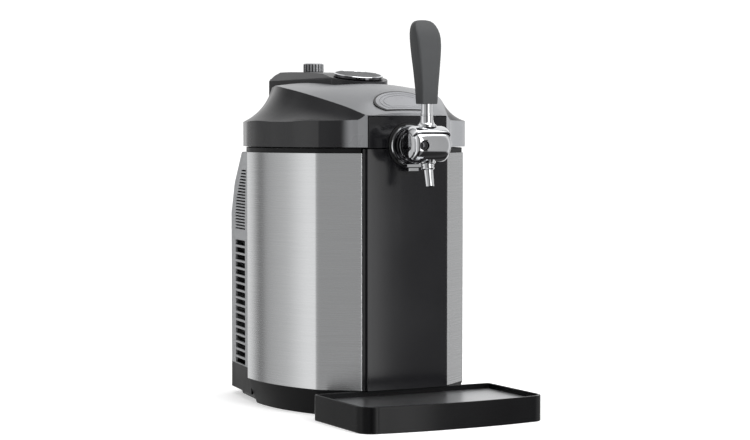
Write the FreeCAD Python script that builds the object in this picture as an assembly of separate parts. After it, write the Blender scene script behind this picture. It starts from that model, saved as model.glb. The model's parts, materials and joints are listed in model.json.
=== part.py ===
import FreeCAD, Part
import math
import os

# Mini keg beer dispenser: a chilled well for a 5 litre keg, a hinged lid with the
# carbon dioxide regulator in its spine, a lever tap on the front and a drip tray.
# Millimetres. +Z is up, -Y is the front, +X is to the right seen from the front.
# The origin is on the floor, under the axis of the keg well.

# --- body in plan ---
BODY_HALF = 126.0        # half width of the steel sides at their widest
WIDE_Y = 30.0            # where the sides are widest
SIDE_LONG = 183.3        # long half axis of the ellipse that the sides follow
FRONT_HALF = 56.6        # half width between the steel's two front edges
FRONT_Y = -119.3         # front edges of the steel
FACET_RUN = 30.4         # depth of the flat facet behind each front edge
FACET_SPREAD = 39.3      # sideways run of the same facet
STEEL_REAR_Y = 56.0      # rear edges of the steel sides
STEEL = 1.0              # sheet thickness
STEEL_RETURN = 7.5       # folded lip behind each front edge
SHOULDER_IN = 21.0       # how far the body has narrowed at its rear shoulder
SHOULDER_Y = 104.0       # rear shoulder
CORE_REAR_Y = 139.6      # flat back of the body under the lid
CORE_REAR_HALF = 78.0    # half width of that flat back

# --- heights ---
BODY_BOTTOM = 31.0       # lower edge of the steel, top of the plinth
BODY_TOP = 308.0         # upper edge of the steel
COLLAR_TOP = 314.0       # top of the dark collar that the lid closes on
COLLAR_INSET = 1.5       # the collar lies this far inside the steel
SEAM = 1.0               # shadow gap between collar and lid
LID_BAND = 30.0          # height of the lid's upright band

# --- plinth and feet ---
PLINTH_DRAFT = 11.0      # inset of the plinth at the floor
PLINTH_EASE = 0.1        # the plinth's top edge lies this far inside the steel
PLINTH_WALL = 3.0
PLINTH_FLOOR = 4.0
FOOT_R = 11.0
FOOT_DEPTH = 2.5
FOOT_X = 78.0
FOOT_FRONT_Y = -62.0
FOOT_REAR_Y = 118.0

# --- keg well ---
WELL_R = 89.0
WELL_FLOOR = 46.0
MOUTH_HIGH = 11.0        # height of the wider mouth above the straight wall
MOUTH_STEP = 2.0         # the mouth above it is this much wider all round
LINER = 1.5
LINER_FLANGE = 5.0
FOAM_REAR_Y = 100.0
AIR_GAP = 8.0            # air between the foam and the vents in the rear cover
FIT = 0.3                # gap between pieces that only lie next to each other

# --- front panel and tap fascia ---
PANEL_STRIP = 4.1        # the face is this much narrower than the opening, each side
PANEL_BOW = 1.4          # the panel's face stands this much prouder in the middle
PANEL_WALL = 3.0
PANEL_STEP_Y = -121.5    # recessed strip beside the face
FASCIA_IN = 0.5          # the fascia is this much narrower than the panel's face
FASCIA_FACE_Y = -127.2
FASCIA_DEPTH = 19.5
FASCIA_TOP = 350.2
FASCIA_ARCH = 1.2

# --- lid ---
LID_PROUD = 2.4          # how far the lid's band stands out over the steel
LID_WALL = 3.0
LID_FRONT_IN = 6.85      # the lid's front is this much narrower than the steel's, each side
FLANK_SAG = 0.105        # hollow of the flanks, as a share of their chord
LINER_PLATE = 3.0        # lid liner plate
PLUG_R = 84.0
PLUG_DEPTH = 11.0
SEAL_WIDTH = 6.0

# --- spine housing on the lid ---
SPINE_NOSE_R = 36.0
SPINE_NOSE_Y = 2.0
SPINE_REAR_HALF = 55.0
SPINE_REAR_Y = 151.0
SPINE_WALL = 3.0
SPINE_TOP = 408.0
SPINE_BOTTOM = 336.0

# --- lid lock ---
LOCK_TILT = 9.5          # degrees that the disc leans to the front
LOCK_Y = 2.3
LOCK_Z = 398.7           # plane of the nose under the disc, on the disc's axis
DISC_R = 30.5
DISC_THICK = 4.6
DISC_LIFT = 0.4
SPINDLE_R = 5.0
SPINDLE_LENGTH = 43.0
CRANK_R = 10.0
CRANK_THICK = 3.0
CRANK_PIN_R = 2.0
BOLT_TRAVEL = 8.0        # bolt stroke for a quarter turn of the disc
BOLT_HALF = 7.0
BOLT_THICK = 4.0
BOLT_ROOM = 0.6
GUIDE_Y = -54.0          # bridge on the lid's liner that guides the bolt
GUIDE_HALF = 8.0
GUIDE_WALL = 4.0

# --- lid hinge ---
HINGE_Y = 149.5
HINGE_Z = 322.0
HINGE_R = 5.5
HINGE_PIN_R = 2.5
HINGE_PIN_FIT = 0.05
HINGE_X = 62.0           # middle of each of the two hinges
KNUCKLE = 14.0

# --- display ---
DISPLAY_HALF = 33.0
DISPLAY_HEIGHT = 27.0
DISPLAY_FOOT = (-119.5, 359.8)   # y, z of the lower edge on the lid's slope
DISPLAY_SLOPE = 43.0
LENS_THICK = 2.2
MODULE_THICK = 2.6       # light module between the board and the lens

# --- regulator and cartridge ---
REG_Y = 128.0
KNOB_R = 13.0
KNOB_HEIGHT = 11.2
KNOB_BEVEL = 0.8
KNOB_FLUTES = 20
FLUTE_R = 1.1
KNOB_STEM_R = 5.0
STEM_FIT = 0.4           # room round the stems that come up through the spine
REG_R = 15.0
REG_BONNET = 9.0
CARTRIDGE_R = 11.0
CARTRIDGE_NECK_R = 4.5
CARTRIDGE_Z = 383.0
CARTRIDGE_FRONT_Y = 24.0
CARTRIDGE_LENGTH = 78.0

COUPLER_R = 9.0
GAS_BARB_Y = 13.0
GAS_TUBE_R = 2.5
GAS_TUBE_Z = 331.0

# --- tap ---
TAP_Z = 317.5
GASKET_R = 26.0
GASKET_THICK = 2.0
FLANGE_R = 24.0
FLANGE_THICK = 4.0
TAP_COLLAR_R = 19.0
TAP_COLLAR_LENGTH = 17.0
SHANK_R = 8.0
SHANK_HOLE_R = 8.5
NUT_R = 15.0
NUT_THICK = 6.0
NUT_ROOM = 1.0           # room for the nut in the pieces round it
THREAD_FIT = 0.05        # between the shank and what is threaded on it
BARREL_Y = -172.0
BARREL_R = 20.3
BARREL_HALF = 25.0
BARREL_BEVEL = 5.0
SPINDLE_BORE_R = 12.0
RUNNING_FIT = 0.05
SADDLE_GAP = 0.6
SADDLE_THICK = 1.6
SADDLE_FRONT = 47.0      # degrees from the vertical at rest
SADDLE_REAR = 58.0
LEVER_PULL = 45.0        # degrees that the handle comes forward
STEM_R = 4.0
STEM_ROOM = 0.8          # slot round the lever's stem
SPOUT_LEAN = 12.0
SPOUT_LENGTH = 27.0
SPOUT_R = 5.6
SPOUT_BORE_R = 3.4
SPOUT_TOP_Z = 296.5
HANDLE_BOTTOM = 365.0
HANDLE_TOP = 462.5
HANDLE_ROUND = 2.4

# --- drip tray ---
TRAY_HALF = 118.0
TRAY_REAR_Y = -115.0
TRAY_DEPTH = 137.0
TRAY_BOW = 6.0
TRAY_HEIGHT = 30.0
TRAY_WALL = 3.5
TRAY_FLOOR = 3.0
TRAY_CORNER = 20.0
TRAY_REAR_CORNER = 6.0
TRAY_LIFT = 0.3          # gap under the tray
PLATE_DROP = 6.0         # plate below the rim
PLATE_THICK = 1.5
LEDGE = 3.0              # step inside the tray that the plate rests on
TONGUE_X = 40.0
TONGUE_HALF = 10.0
TONGUE_LENGTH = 12.0
TONGUE_Z = 8.0
TONGUE_THICK = 6.0

# --- rear cover ---
COVER_STEP = 4.86        # the cover lies this far inside the steel's rear edges
COVER_FRONT_Y = 56.5
COVER_TAPER = 12.3       # how far its sides narrow to the shoulder
COVER_SHOULDER_Y = 137.0
COVER_REAR_Y = 178.0
COVER_CORNER = 38.5      # sideways run of its rear corners
COVER_LAP = 40.0         # its plan is carried this far forward for the pieces inside
COVER_BOTTOM = 10.0
COVER_TOP = 307.7
COVER_BEND_Z = 230.0     # above this the cover leans in towards the lid
COVER_MIDDLE_Z = 268.0
COVER_MIDDLE_HALF = 105.5
COVER_MIDDLE_Y = 131.0
COVER_MIDDLE_REAR_HALF = 73.0
COVER_MIDDLE_REAR_Y = 168.0
COVER_TOP_HALF = 107.5   # shoulder of its top edge
COVER_WALL = 2.5
VENT_FRONT_Y = 84.0
VENT_REAR_Y = 129.0
SLOT_COUNT = 20
SLOT_PITCH = 3.8
SLOT_HEIGHT = 2.0
SLOT_FIRST_Z = 211.2
WINDOW_COUNT = 17
WINDOW_PITCH = 9.28
WINDOW_HEIGHT = 6.7
WINDOW_FIRST_Z = 42.5
VENT_DEPTH = 20.0        # the openings are cut this far in from the cover's side
VENT_SHORTER = 2.0       # each upper slot is this much shorter than the one below

# --- cooling ---
COOL_Z = 150.0
BLOCK_HALF = 30.0
BLOCK_REAR_Y = 106.0
PELTIER_HALF = 20.0
PELTIER_THICK = 4.0
SINK_HALF = 45.0
SINK_BASE = 5.0
SINK_FIN = 26.0
SINK_FINS = 13
FIN_THICK = 1.6
FAN_HALF = 40.0
FAN_THICK = 20.0
FAN_DUCT_R = 37.5
FAN_HUB_R = 15.0
FAN_BLADES = 7
FAN_SHAFT_R = 2.0

# --- electrics ---
BOARD = (90.0, 46.0, 1.6)
BOARD_Y = 138.0
BOARD_Z = 12.0
INLET_X = 52.0
INLET_Z = 52.0
INLET_HALF = 14.0
INLET_HIGH = 20.0
SWITCH_X = 14.0
SWITCH_HALF = 10.5
SWITCH_HIGH = 14.0
ROCKER_TILT = 14.0

SCREW_R = 3.5
SCREW_HEAD = 1.8
SCREW_SUNK = 0.2
SCREW_SEAT = 0.2         # the seat is this much wider than the head
SCREW_IN = 8.0           # screws stand in from the corners of the cover's flat back
SCREW_LOW = 14.0         # lower pair above the cover's lower edge
SCREW_HIGH = 15.0        # upper pair below the cover's bend
FAR = 600.0

V = FreeCAD.Vector
X_AXIS = V(1, 0, 0)
Y_AXIS = V(0, 1, 0)
Z_AXIS = V(0, 0, 1)
ORIGIN = V(0, 0, 0)

PANEL_HALF = FRONT_HALF - PANEL_STRIP
FASCIA_HALF = PANEL_HALF - FASCIA_IN
LID_FRONT_HALF = FRONT_HALF - LID_FRONT_IN
LID_BOTTOM = COLLAR_TOP + SEAM
LID_BAND_TOP = LID_BOTTOM + LID_BAND
PLATE_Z = LID_BOTTOM + 2.0                   # underside of the lid's liner plate
REG_TOP = SPINE_TOP - SPINE_WALL - 1.5
FLANGE_Y = FASCIA_FACE_Y - GASKET_THICK      # back of the tap's wall flange
FAN_Y = BLOCK_REAR_Y + PELTIER_THICK + SINK_BASE + SINK_FIN
ROCKER_Y = COVER_REAR_Y - 5.0
TRAY_TOP = TRAY_LIFT + TRAY_HEIGHT
PLATE_TOP = TRAY_TOP - PLATE_DROP
FASCIA_BOTTOM = COLLAR_TOP
FASCIA_REAR_Y = FASCIA_FACE_Y + FASCIA_DEPTH
PANEL_FACE_Y = FASCIA_FACE_Y + PANEL_BOW
PANEL_LEG_Y = FRONT_Y + STEEL_RETURN
BOLT_DROP = SPINDLE_LENGTH + CRANK_THICK + 1 + BOLT_THICK / 2
MOUTH_R = WELL_R + MOUTH_STEP
MOUTH_Z = BODY_TOP - MOUTH_HIGH


# ---------------------------------------------------------------- small helpers

def box(x0, x1, y0, y1, z0, z1):
    return Part.makeBox(x1 - x0, y1 - y0, z1 - z0, V(x0, y0, z0))


def centred(half, y0, y1, z0, z1):
    return box(-half, half, y0, y1, z0, z1)


def upright(radius, x, y, z0, z1):
    return Part.makeCylinder(radius, z1 - z0, V(x, y, z0), Z_AXIS)


def along_y(radius, x, z, y0, y1):
    return Part.makeCylinder(radius, y1 - y0, V(x, y0, z), Y_AXIS)


def along_x(radius, y, z, x0, x1):
    return Part.makeCylinder(radius, x1 - x0, V(x0, y, z), X_AXIS)


def line(a, b):
    return Part.makeLine(V(*a), V(*b))


def arc(a, b, c):
    return Part.Arc(V(*a), V(*b), V(*c)).toShape()


def polygon(points):
    return Part.Wire(Part.makePolygon([V(*p) for p in points + points[:1]]))


def prism(wire, direction):
    return Part.Face(wire).extrude(direction)


def plan_prism(points, z0, z1):
    return prism(polygon([(x, y, z0) for x, y in points]), V(0, 0, z1 - z0))


def side_prism(points, half):
    """Extrude a profile drawn in the Y-Z plane to both sides of the middle."""
    return prism(polygon([(-half, y, z) for y, z in points]), V(2 * half, 0, 0))


def mirrored(shape):
    return shape.mirror(ORIGIN, X_AXIS)


def both_sides(shape):
    return [shape, mirrored(shape)]


def fuse(shapes):
    joined = shapes[0].multiFuse(shapes[1:]) if len(shapes) > 1 else shapes[0]
    return joined.removeSplitter()


def cut(shape, tools):
    return shape.cut(tools if isinstance(tools, list) else [tools])


def grown(face, distance):
    """Offset a plan: outwards with sharp corners, or inwards for a negative distance."""
    return face.makeOffset2D(distance, 2 if distance > 0 else 0)


def turned(shape, angle, y, z):
    """Turn about an axis along X through y, z."""
    copy = shape.copy()
    copy.rotate(V(0, y, z), X_AXIS, angle)
    return copy


def turned_profile_y(points, x, z):
    """Solid of revolution about an axis along Y from (radius, y) points."""
    wire = polygon([(x, y, z + r) for r, y in points])
    return Part.Face(wire).revolve(V(x, 0, z), Y_AXIS, 360)


def symmetric_face(right_edges):
    """Close edges drawn on the right of the middle plane with their mirror image."""
    edges = right_edges + [mirrored(edge) for edge in right_edges]
    return Part.Face(Part.Wire(Part.__sortEdges__(edges)))


def extruded(face, z0, z1):
    lifted = face.copy()
    lifted.translate(V(0, 0, z0))
    return lifted.extrude(V(0, 0, z1 - z0))


# ---------------------------------------------------------------- body outline

FACET_X = FRONT_HALF + FACET_SPREAD
FACET_Y = FRONT_Y + FACET_RUN


def side_x(y):
    """Half width of the curved sides at a depth."""
    return BODY_HALF * math.sqrt(1 - ((y - WIDE_Y) / SIDE_LONG) ** 2)


COVER_HALF_FRONT = side_x(STEEL_REAR_Y) - COVER_STEP
COVER_HALF_REAR = COVER_HALF_FRONT - COVER_TAPER
COVER_REAR_HALF = COVER_HALF_REAR - COVER_CORNER


def side_arc(start, end):
    middle = (start[1] + end[1]) / 2
    return arc((start[0], start[1], 0), (side_x(middle), middle, 0), (end[0], end[1], 0))


def facet_y(x):
    """The facet's line, carried on towards the middle."""
    return FACET_Y - (FACET_X - x) * FACET_RUN / FACET_SPREAD


def body_face(front_half):
    """Plan of the body at the floor, its facets carried forward to a half width."""
    front_y = facet_y(front_half)
    shoulder_x = BODY_HALF - SHOULDER_IN
    steel_rear_x = side_x(STEEL_REAR_Y)
    bend = ((shoulder_x + CORE_REAR_HALF) / 2 + 4, (SHOULDER_Y + CORE_REAR_Y) / 2 + 3)
    return symmetric_face([
        line((0, front_y, 0), (front_half, front_y, 0)),
        line((front_half, front_y, 0), (FACET_X, FACET_Y, 0)),
        side_arc((FACET_X, FACET_Y), (BODY_HALF, WIDE_Y)),
        side_arc((BODY_HALF, WIDE_Y), (steel_rear_x, STEEL_REAR_Y)),
        line((steel_rear_x, STEEL_REAR_Y, 0), (shoulder_x, SHOULDER_Y, 0)),
        arc((shoulder_x, SHOULDER_Y, 0), (*bend, 0), (CORE_REAR_HALF, CORE_REAR_Y, 0)),
        line((CORE_REAR_HALF, CORE_REAR_Y, 0), (0, CORE_REAR_Y, 0)),
    ])


def cover_plan(front_y, inset, shoulder, rear):
    """Plan of the rear cover, its straight sides carried forward to a depth."""
    shoulder_x, shoulder_y = shoulder
    rear_half, rear_y = rear
    slope = (COVER_HALF_FRONT - shoulder_x) / (shoulder_y - COVER_FRONT_Y)
    start_x = COVER_HALF_FRONT + (COVER_FRONT_Y - front_y) * slope
    bend = (shoulder_x - 0.34 * (shoulder_x - rear_half), shoulder_y + 0.72 * (rear_y - shoulder_y))
    face = symmetric_face([
        line((0, front_y, 0), (start_x, front_y, 0)),
        line((start_x, front_y, 0), (shoulder_x, shoulder_y, 0)),
        arc((shoulder_x, shoulder_y, 0), (*bend, 0), (rear_half, rear_y, 0)),
        line((rear_half, rear_y, 0), (0, rear_y, 0)),
    ])
    return grown(face, -inset) if inset else face


def cover_face(front_y, inset=0):
    """Plan of the cover's upright part."""
    return cover_plan(front_y, inset, (COVER_HALF_REAR, COVER_SHOULDER_Y), (COVER_REAR_HALF, COVER_REAR_Y))


def cover_hull(front_y, inset, z0, z1):
    """The cover's outline as a full body: upright below, leaning in to the body's own plan above."""
    sections = [
        (COVER_BEND_Z, cover_face(front_y, inset)),
        (COVER_MIDDLE_Z, cover_plan(front_y, inset, (COVER_MIDDLE_HALF, COVER_MIDDLE_Y),
                                    (COVER_MIDDLE_REAR_HALF, COVER_MIDDLE_REAR_Y))),
        (COVER_TOP, cover_plan(front_y, inset, (COVER_TOP_HALF, SHOULDER_Y),
                               (CORE_REAR_HALF, CORE_REAR_Y - 2))),
    ]
    wires = []
    for z, face in sections:
        wire = face.OuterWire
        wire.translate(V(0, 0, z))
        wires.append(wire)
    upright_part = extruded(sections[0][1], z0, COVER_BEND_Z)
    hull = fuse([upright_part, Part.makeLoft(wires, True, True)])
    if z1 > COVER_TOP:
        return fuse([hull, extruded(sections[2][1], COVER_TOP, z1)])
    return hull.common(box(-FAR, FAR, -FAR, FAR, z0, z1))


# ---------------------------------------------------------------- base

def drafted(face, inset, z0, z1):
    """Upright block inside a plan, narrower by the plinth's draft at its foot."""
    foot = grown(face, -inset - PLINTH_DRAFT).OuterWire
    foot.translate(V(0, 0, z0))
    head = grown(face, -inset).OuterWire
    head.translate(V(0, 0, z1))
    return Part.makeLoft([foot, head], True, True)


def plinth_block(inset, z0, z1):
    front = drafted(body_face(FRONT_HALF), inset + PLINTH_EASE, z0, z1)
    front = front.common(box(-FAR, FAR, -FAR, STEEL_REAR_Y - inset, z0, z1))
    rear = drafted(cover_face(COVER_FRONT_Y - COVER_LAP), inset + COVER_WALL + FIT, z0, z1)
    rear = rear.common(box(-FAR, FAR, COVER_FRONT_Y - COVER_LAP / 2, FAR, z0, z1))
    return fuse([front, rear])


def foot_places():
    return [(side * FOOT_X, y) for y in (FOOT_FRONT_Y, FOOT_REAR_Y) for side in (-1, 1)]


def base_plinth():
    block = plinth_block(0, 0, BODY_BOTTOM)
    hollow = plinth_block(PLINTH_WALL, 0, BODY_BOTTOM)
    hollow = hollow.common(box(-FAR, FAR, TRAY_REAR_Y + TONGUE_LENGTH + 6, FAR,
                               PLINTH_FLOOR, BODY_BOTTOM))
    front_cut = box(-FAR, FAR, -FAR, TRAY_REAR_Y + FIT, -1, BODY_BOTTOM - 0.5)
    feet = [upright(FOOT_R + FIT, x, y, -1, FOOT_DEPTH) for x, y in foot_places()]
    sockets = both_sides(box(TONGUE_X - TONGUE_HALF - FIT, TONGUE_X + TONGUE_HALF + FIT,
                             TRAY_REAR_Y, TRAY_REAR_Y + TONGUE_LENGTH + 2,
                             TONGUE_Z - FIT, TONGUE_Z + TONGUE_THICK + FIT))
    posts = [upright(4, side * (BOARD[0] / 2 - 5), BOARD_Y + end * (BOARD[1] / 2 - 5),
                     PLINTH_FLOOR - 0.5, BOARD_Z) for side in (-1, 1) for end in (-1, 1)]
    return fuse([cut(block, [hollow, front_cut] + feet + sockets)] + posts)


def rubber_feet():
    return [upright(FOOT_R, x, y, 0, FOOT_DEPTH) for x, y in foot_places()]


# ---------------------------------------------------------------- casing

def steel_side():
    """Right-hand sheet: it wraps from the front edge round to the rear cover."""
    outer = body_face(FRONT_HALF)
    inner = grown(outer, -STEEL)
    ring = cut(extruded(outer, BODY_BOTTOM, BODY_TOP), extruded(inner, BODY_BOTTOM, BODY_TOP))
    sheet = ring.common(box(FRONT_HALF - 0.2, FAR, -FAR, STEEL_REAR_Y, 0, FAR))
    lip = box(FRONT_HALF - 0.2, FRONT_HALF + STEEL - 0.2, FRONT_Y + 0.1,
              FRONT_Y + STEEL_RETURN, BODY_BOTTOM, BODY_TOP)
    return fuse([sheet, lip])


def front_panel():
    """Tall front panel: a bowed face with a recessed strip down each side."""
    outside = FRONT_HALF - 0.2 - FIT
    leg_y = PANEL_LEG_Y
    z = BODY_BOTTOM
    bow = PANEL_FACE_Y - PANEL_BOW
    face = symmetric_face([
        Part.makeLine(V(outside, leg_y, z), V(outside, PANEL_STEP_Y, z)),
        Part.makeLine(V(outside, PANEL_STEP_Y, z), V(PANEL_HALF + 0.6, PANEL_STEP_Y, z)),
        Part.makeLine(V(PANEL_HALF + 0.6, PANEL_STEP_Y, z), V(PANEL_HALF, PANEL_FACE_Y, z)),
        Part.Arc(V(PANEL_HALF, PANEL_FACE_Y, z), V(PANEL_HALF / 2, bow + PANEL_BOW / 4, z),
                 V(0, bow, z)).toShape(),
        Part.makeLine(V(0, leg_y, z), V(outside, leg_y, z)),
    ])
    block = face.extrude(V(0, 0, COLLAR_TOP - SEAM - z))
    inside = PANEL_HALF - PANEL_WALL
    hollow = [
        box(-inside, inside, FASCIA_FACE_Y + PANEL_WALL, 0, z + PANEL_WALL, FAR),
        box(-(outside - PANEL_WALL), outside - PANEL_WALL, PANEL_STEP_Y + PANEL_WALL, 0,
            z + PANEL_WALL, FAR),
    ]
    shank = along_y(SHANK_HOLE_R + 1, 0, TAP_Z, -FAR, 0)
    return cut(block, hollow + [shank])


def tap_fascia():
    """Fixed front piece between the lid's notch: it carries the tap."""
    half = FASCIA_HALF - FIT
    z0, z1 = FASCIA_BOTTOM, FASCIA_TOP
    y0, y1 = FASCIA_FACE_Y, FASCIA_REAR_Y
    edges = [
        line((-half, y0, z0), (half, y0, z0)),
        line((half, y0, z0), (half, y0, z1)),
        arc((half, y0, z1), (0, y0, z1 + FASCIA_ARCH), (-half, y0, z1)),
        line((-half, y0, z1), (-half, y0, z0)),
    ]
    block = prism(Part.Wire(edges), V(0, y1 - y0, 0))
    wall = PANEL_WALL
    hollow = centred(half - wall, y0 + wall, y1 - wall, z0 + wall, z1 - wall)
    shank = along_y(SHANK_HOLE_R, 0, TAP_Z, -FAR, 0)
    connector = along_y(NUT_R + NUT_ROOM, 0, TAP_Z, y0 + wall, 0)
    strike = bolt_slot(BOLT_ROOM).common(centred(FAR, y1 - wall - 1, y1 + 1, 0, FAR))
    return cut(block, [hollow, shank, connector, strike])


def top_collar():
    """Dark ring on top of the body, round the mouth of the well."""
    face = grown(body_face(FRONT_HALF), -COLLAR_INSET)
    ring = extruded(face, BODY_TOP, COLLAR_TOP)
    well = upright(MOUTH_R, 0, 0, 0, FAR)
    connector = along_y(NUT_R + NUT_ROOM, 0, TAP_Z, -FAR, FASCIA_REAR_Y)
    panel_room = centred(FRONT_HALF, -FAR, PANEL_LEG_Y + FIT, 0, FAR)
    return cut(ring, [well, connector, panel_room])


def well_liner():
    """Deep drawn aluminium pot that the keg stands in, with a wider mouth for the lid's plug."""
    pot = upright(WELL_R + LINER, 0, 0, WELL_FLOOR - LINER, BODY_TOP)
    mouth = upright(MOUTH_R + LINER, 0, 0, MOUTH_Z - LINER, BODY_TOP)
    flange = upright(MOUTH_R + LINER + LINER_FLANGE, 0, 0, BODY_TOP - LINER, BODY_TOP)
    hollow = [upright(WELL_R, 0, 0, WELL_FLOOR, FAR), upright(MOUTH_R, 0, 0, MOUTH_Z, FAR)]
    return cut(fuse([pot, mouth, flange]), hollow)


def foam_insulation():
    """Foam between the liner and the steel."""
    face = grown(body_face(FRONT_HALF), -STEEL - FIT)
    top = BODY_TOP - LINER - FIT
    block = extruded(face, BODY_BOTTOM, top)
    block = block.common(box(-FAR, FAR, FRONT_Y + STEEL_RETURN + FIT, FOAM_REAR_Y, 0, FAR))
    narrow = cover_hull(COVER_FRONT_Y - COVER_LAP, COVER_WALL + AIR_GAP, BODY_BOTTOM, top)
    keep_front = box(-FAR, FAR, -FAR, STEEL_REAR_Y - 3, 0, FAR)
    block = block.common(fuse([narrow.common(box(-FAR, FAR, 0, FAR, 0, FAR)), keep_front]))
    well = [upright(WELL_R + LINER + FIT, 0, 0, WELL_FLOOR - LINER - FIT, FAR),
            upright(MOUTH_R + LINER + FIT, 0, 0, MOUTH_Z - LINER - FIT, FAR)]
    cold = centred(BLOCK_HALF + FIT, 0, FAR, COOL_Z - BLOCK_HALF - FIT, COOL_Z + BLOCK_HALF + FIT)
    nut = along_y(NUT_R + 2 * NUT_ROOM, 0, TAP_Z, -FAR, FASCIA_REAR_Y)
    return cut(block, well + [cold, nut])


# ---------------------------------------------------------------- rear cover

def side_vents():
    """Fine slots above, larger windows below, the same on both sides."""
    tools = []
    reach = COVER_HALF_FRONT + 10
    for i in range(SLOT_COUNT):
        z = SLOT_FIRST_Z + i * SLOT_PITCH
        shorter = max(0, i - SLOT_COUNT / 2) * VENT_SHORTER
        tools.append(centred(reach, VENT_FRONT_Y, VENT_REAR_Y - shorter, z, z + SLOT_HEIGHT))
    for i in range(WINDOW_COUNT):
        z = WINDOW_FIRST_Z + i * WINDOW_PITCH
        tools.append(centred(reach, VENT_FRONT_Y, VENT_REAR_Y, z, z + WINDOW_HEIGHT))
    return tools


def rear_grille():
    """Slots in front of the fan, shorter towards the top and bottom of its circle."""
    tools = []
    rows = 9
    pitch = 2 * FAN_DUCT_R / rows
    for i in range(rows):
        offset = (i - (rows - 1) / 2) * pitch
        half = math.sqrt(FAN_DUCT_R ** 2 - offset ** 2)
        z = COOL_Z + offset
        tools.append(centred(half, COVER_REAR_Y - 8, FAR, z - pitch * 0.3, z + pitch * 0.3))
    return tools


def inlet_box(grow, y0, y1):
    return box(INLET_X - INLET_HALF - grow, INLET_X + INLET_HALF + grow, y0, y1,
               INLET_Z - INLET_HIGH / 2 - grow, INLET_Z + INLET_HIGH / 2 + grow)


def switch_box(grow, y0, y1):
    return box(SWITCH_X - SWITCH_HALF - grow, SWITCH_X + SWITCH_HALF + grow, y0, y1,
               INLET_Z - SWITCH_HIGH / 2 - grow, INLET_Z + SWITCH_HIGH / 2 + grow)


def cover_screw_places():
    return [(side * (COVER_REAR_HALF - SCREW_IN), z)
            for z in (COVER_BOTTOM + SCREW_LOW, COVER_BEND_Z - SCREW_HIGH) for side in (-1, 1)]


def rear_cover():
    lap_y = COVER_FRONT_Y - COVER_LAP
    outer = cover_hull(COVER_FRONT_Y, 0, COVER_BOTTOM, COVER_TOP)
    inner = cover_hull(lap_y, COVER_WALL, COVER_BOTTOM - 1, COVER_TOP - COVER_WALL)
    over_foam = cover_hull(lap_y, COVER_WALL, COVER_BOTTOM, COVER_TOP + 1)
    over_foam = over_foam.common(box(-FAR, FAR, -FAR, FOAM_REAR_Y + FIT, 0, FAR))
    shell = cut(outer, [inner, over_foam])
    openings = rear_grille() + [inlet_box(FIT, COVER_SHOULDER_Y, FAR),
                                switch_box(FIT, COVER_SHOULDER_Y, FAR)]
    screws = [along_y(SCREW_R + SCREW_SEAT, x, z, COVER_REAR_Y - SCREW_HEAD, FAR)
              for x, z in cover_screw_places()]
    slots = [tool.cut(centred(COVER_HALF_REAR - VENT_DEPTH, -FAR, FAR, -FAR, FAR)) for tool in side_vents()]
    return cut(shell, slots + openings + screws)


def cover_screws():
    return [along_y(SCREW_R, x, z, COVER_REAR_Y - SCREW_HEAD, COVER_REAR_Y - SCREW_SUNK)
            for x, z in cover_screw_places()]


# ---------------------------------------------------------------- cooling

def cold_block():
    """Aluminium saddle that takes heat from the liner's wall."""
    z0, z1 = COOL_Z - BLOCK_HALF, COOL_Z + BLOCK_HALF
    block = centred(BLOCK_HALF, WELL_R - 10, BLOCK_REAR_Y, z0, z1)
    return cut(block, upright(WELL_R + LINER + 0.05, 0, 0, 0, FAR))


def peltier_module():
    return centred(PELTIER_HALF, BLOCK_REAR_Y, BLOCK_REAR_Y + PELTIER_THICK,
                   COOL_Z - PELTIER_HALF, COOL_Z + PELTIER_HALF)


def heat_sink():
    y0 = BLOCK_REAR_Y + PELTIER_THICK
    z0, z1 = COOL_Z - SINK_HALF, COOL_Z + SINK_HALF
    parts = [centred(SINK_HALF, y0, y0 + SINK_BASE, z0, z1)]
    pitch = (2 * SINK_HALF - FIN_THICK) / (SINK_FINS - 1)
    for i in range(SINK_FINS):
        x = -SINK_HALF + i * pitch
        parts.append(box(x, x + FIN_THICK, y0 + SINK_BASE - 0.1, y0 + SINK_BASE + SINK_FIN, z0, z1))
    return fuse(parts)


def fan_frame():
    y0, y1 = FAN_Y, FAN_Y + FAN_THICK
    frame = centred(FAN_HALF, y0, y1, COOL_Z - FAN_HALF, COOL_Z + FAN_HALF)
    frame = cut(frame, along_y(FAN_DUCT_R, 0, COOL_Z, y0, y1))
    spokes = []
    for i in range(4):
        spoke = box(-1.5, 1.5, y1 - 2.5, y1, COOL_Z, COOL_Z + FAN_DUCT_R + 1)
        spoke.rotate(V(0, 0, COOL_Z), Y_AXIS, 45 + 90 * i)
        spokes.append(spoke)
    hub = along_y(FAN_HUB_R, 0, COOL_Z, y1 - 2.5, y1)
    shaft = along_y(FAN_SHAFT_R, 0, COOL_Z, y0 + 4, y1 - 1)
    return fuse([frame, hub, shaft] + spokes)


def fan_rotor():
    y0 = FAN_Y + 2.5
    y1 = FAN_Y + FAN_THICK - 2.5 - FIT
    parts = [along_y(FAN_HUB_R, 0, COOL_Z, y0, y1)]
    for i in range(FAN_BLADES):
        blade = box(-0.9, 0.9, y0 + 1, y1 - 1, COOL_Z + FAN_HUB_R - 1, COOL_Z + FAN_DUCT_R - 1.2)
        blade.rotate(V(0, (y0 + y1) / 2, COOL_Z), Z_AXIS, 38)
        blade = blade.common(centred(FAR, y0, y1, 0, FAR))
        blade.rotate(V(0, 0, COOL_Z), Y_AXIS, 360.0 * i / FAN_BLADES)
        parts.append(blade)
    bore = along_y(FAN_SHAFT_R + RUNNING_FIT, 0, COOL_Z, y0 - 1, y1 + 1)
    return cut(fuse(parts), bore)


# ---------------------------------------------------------------- electrics

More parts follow.
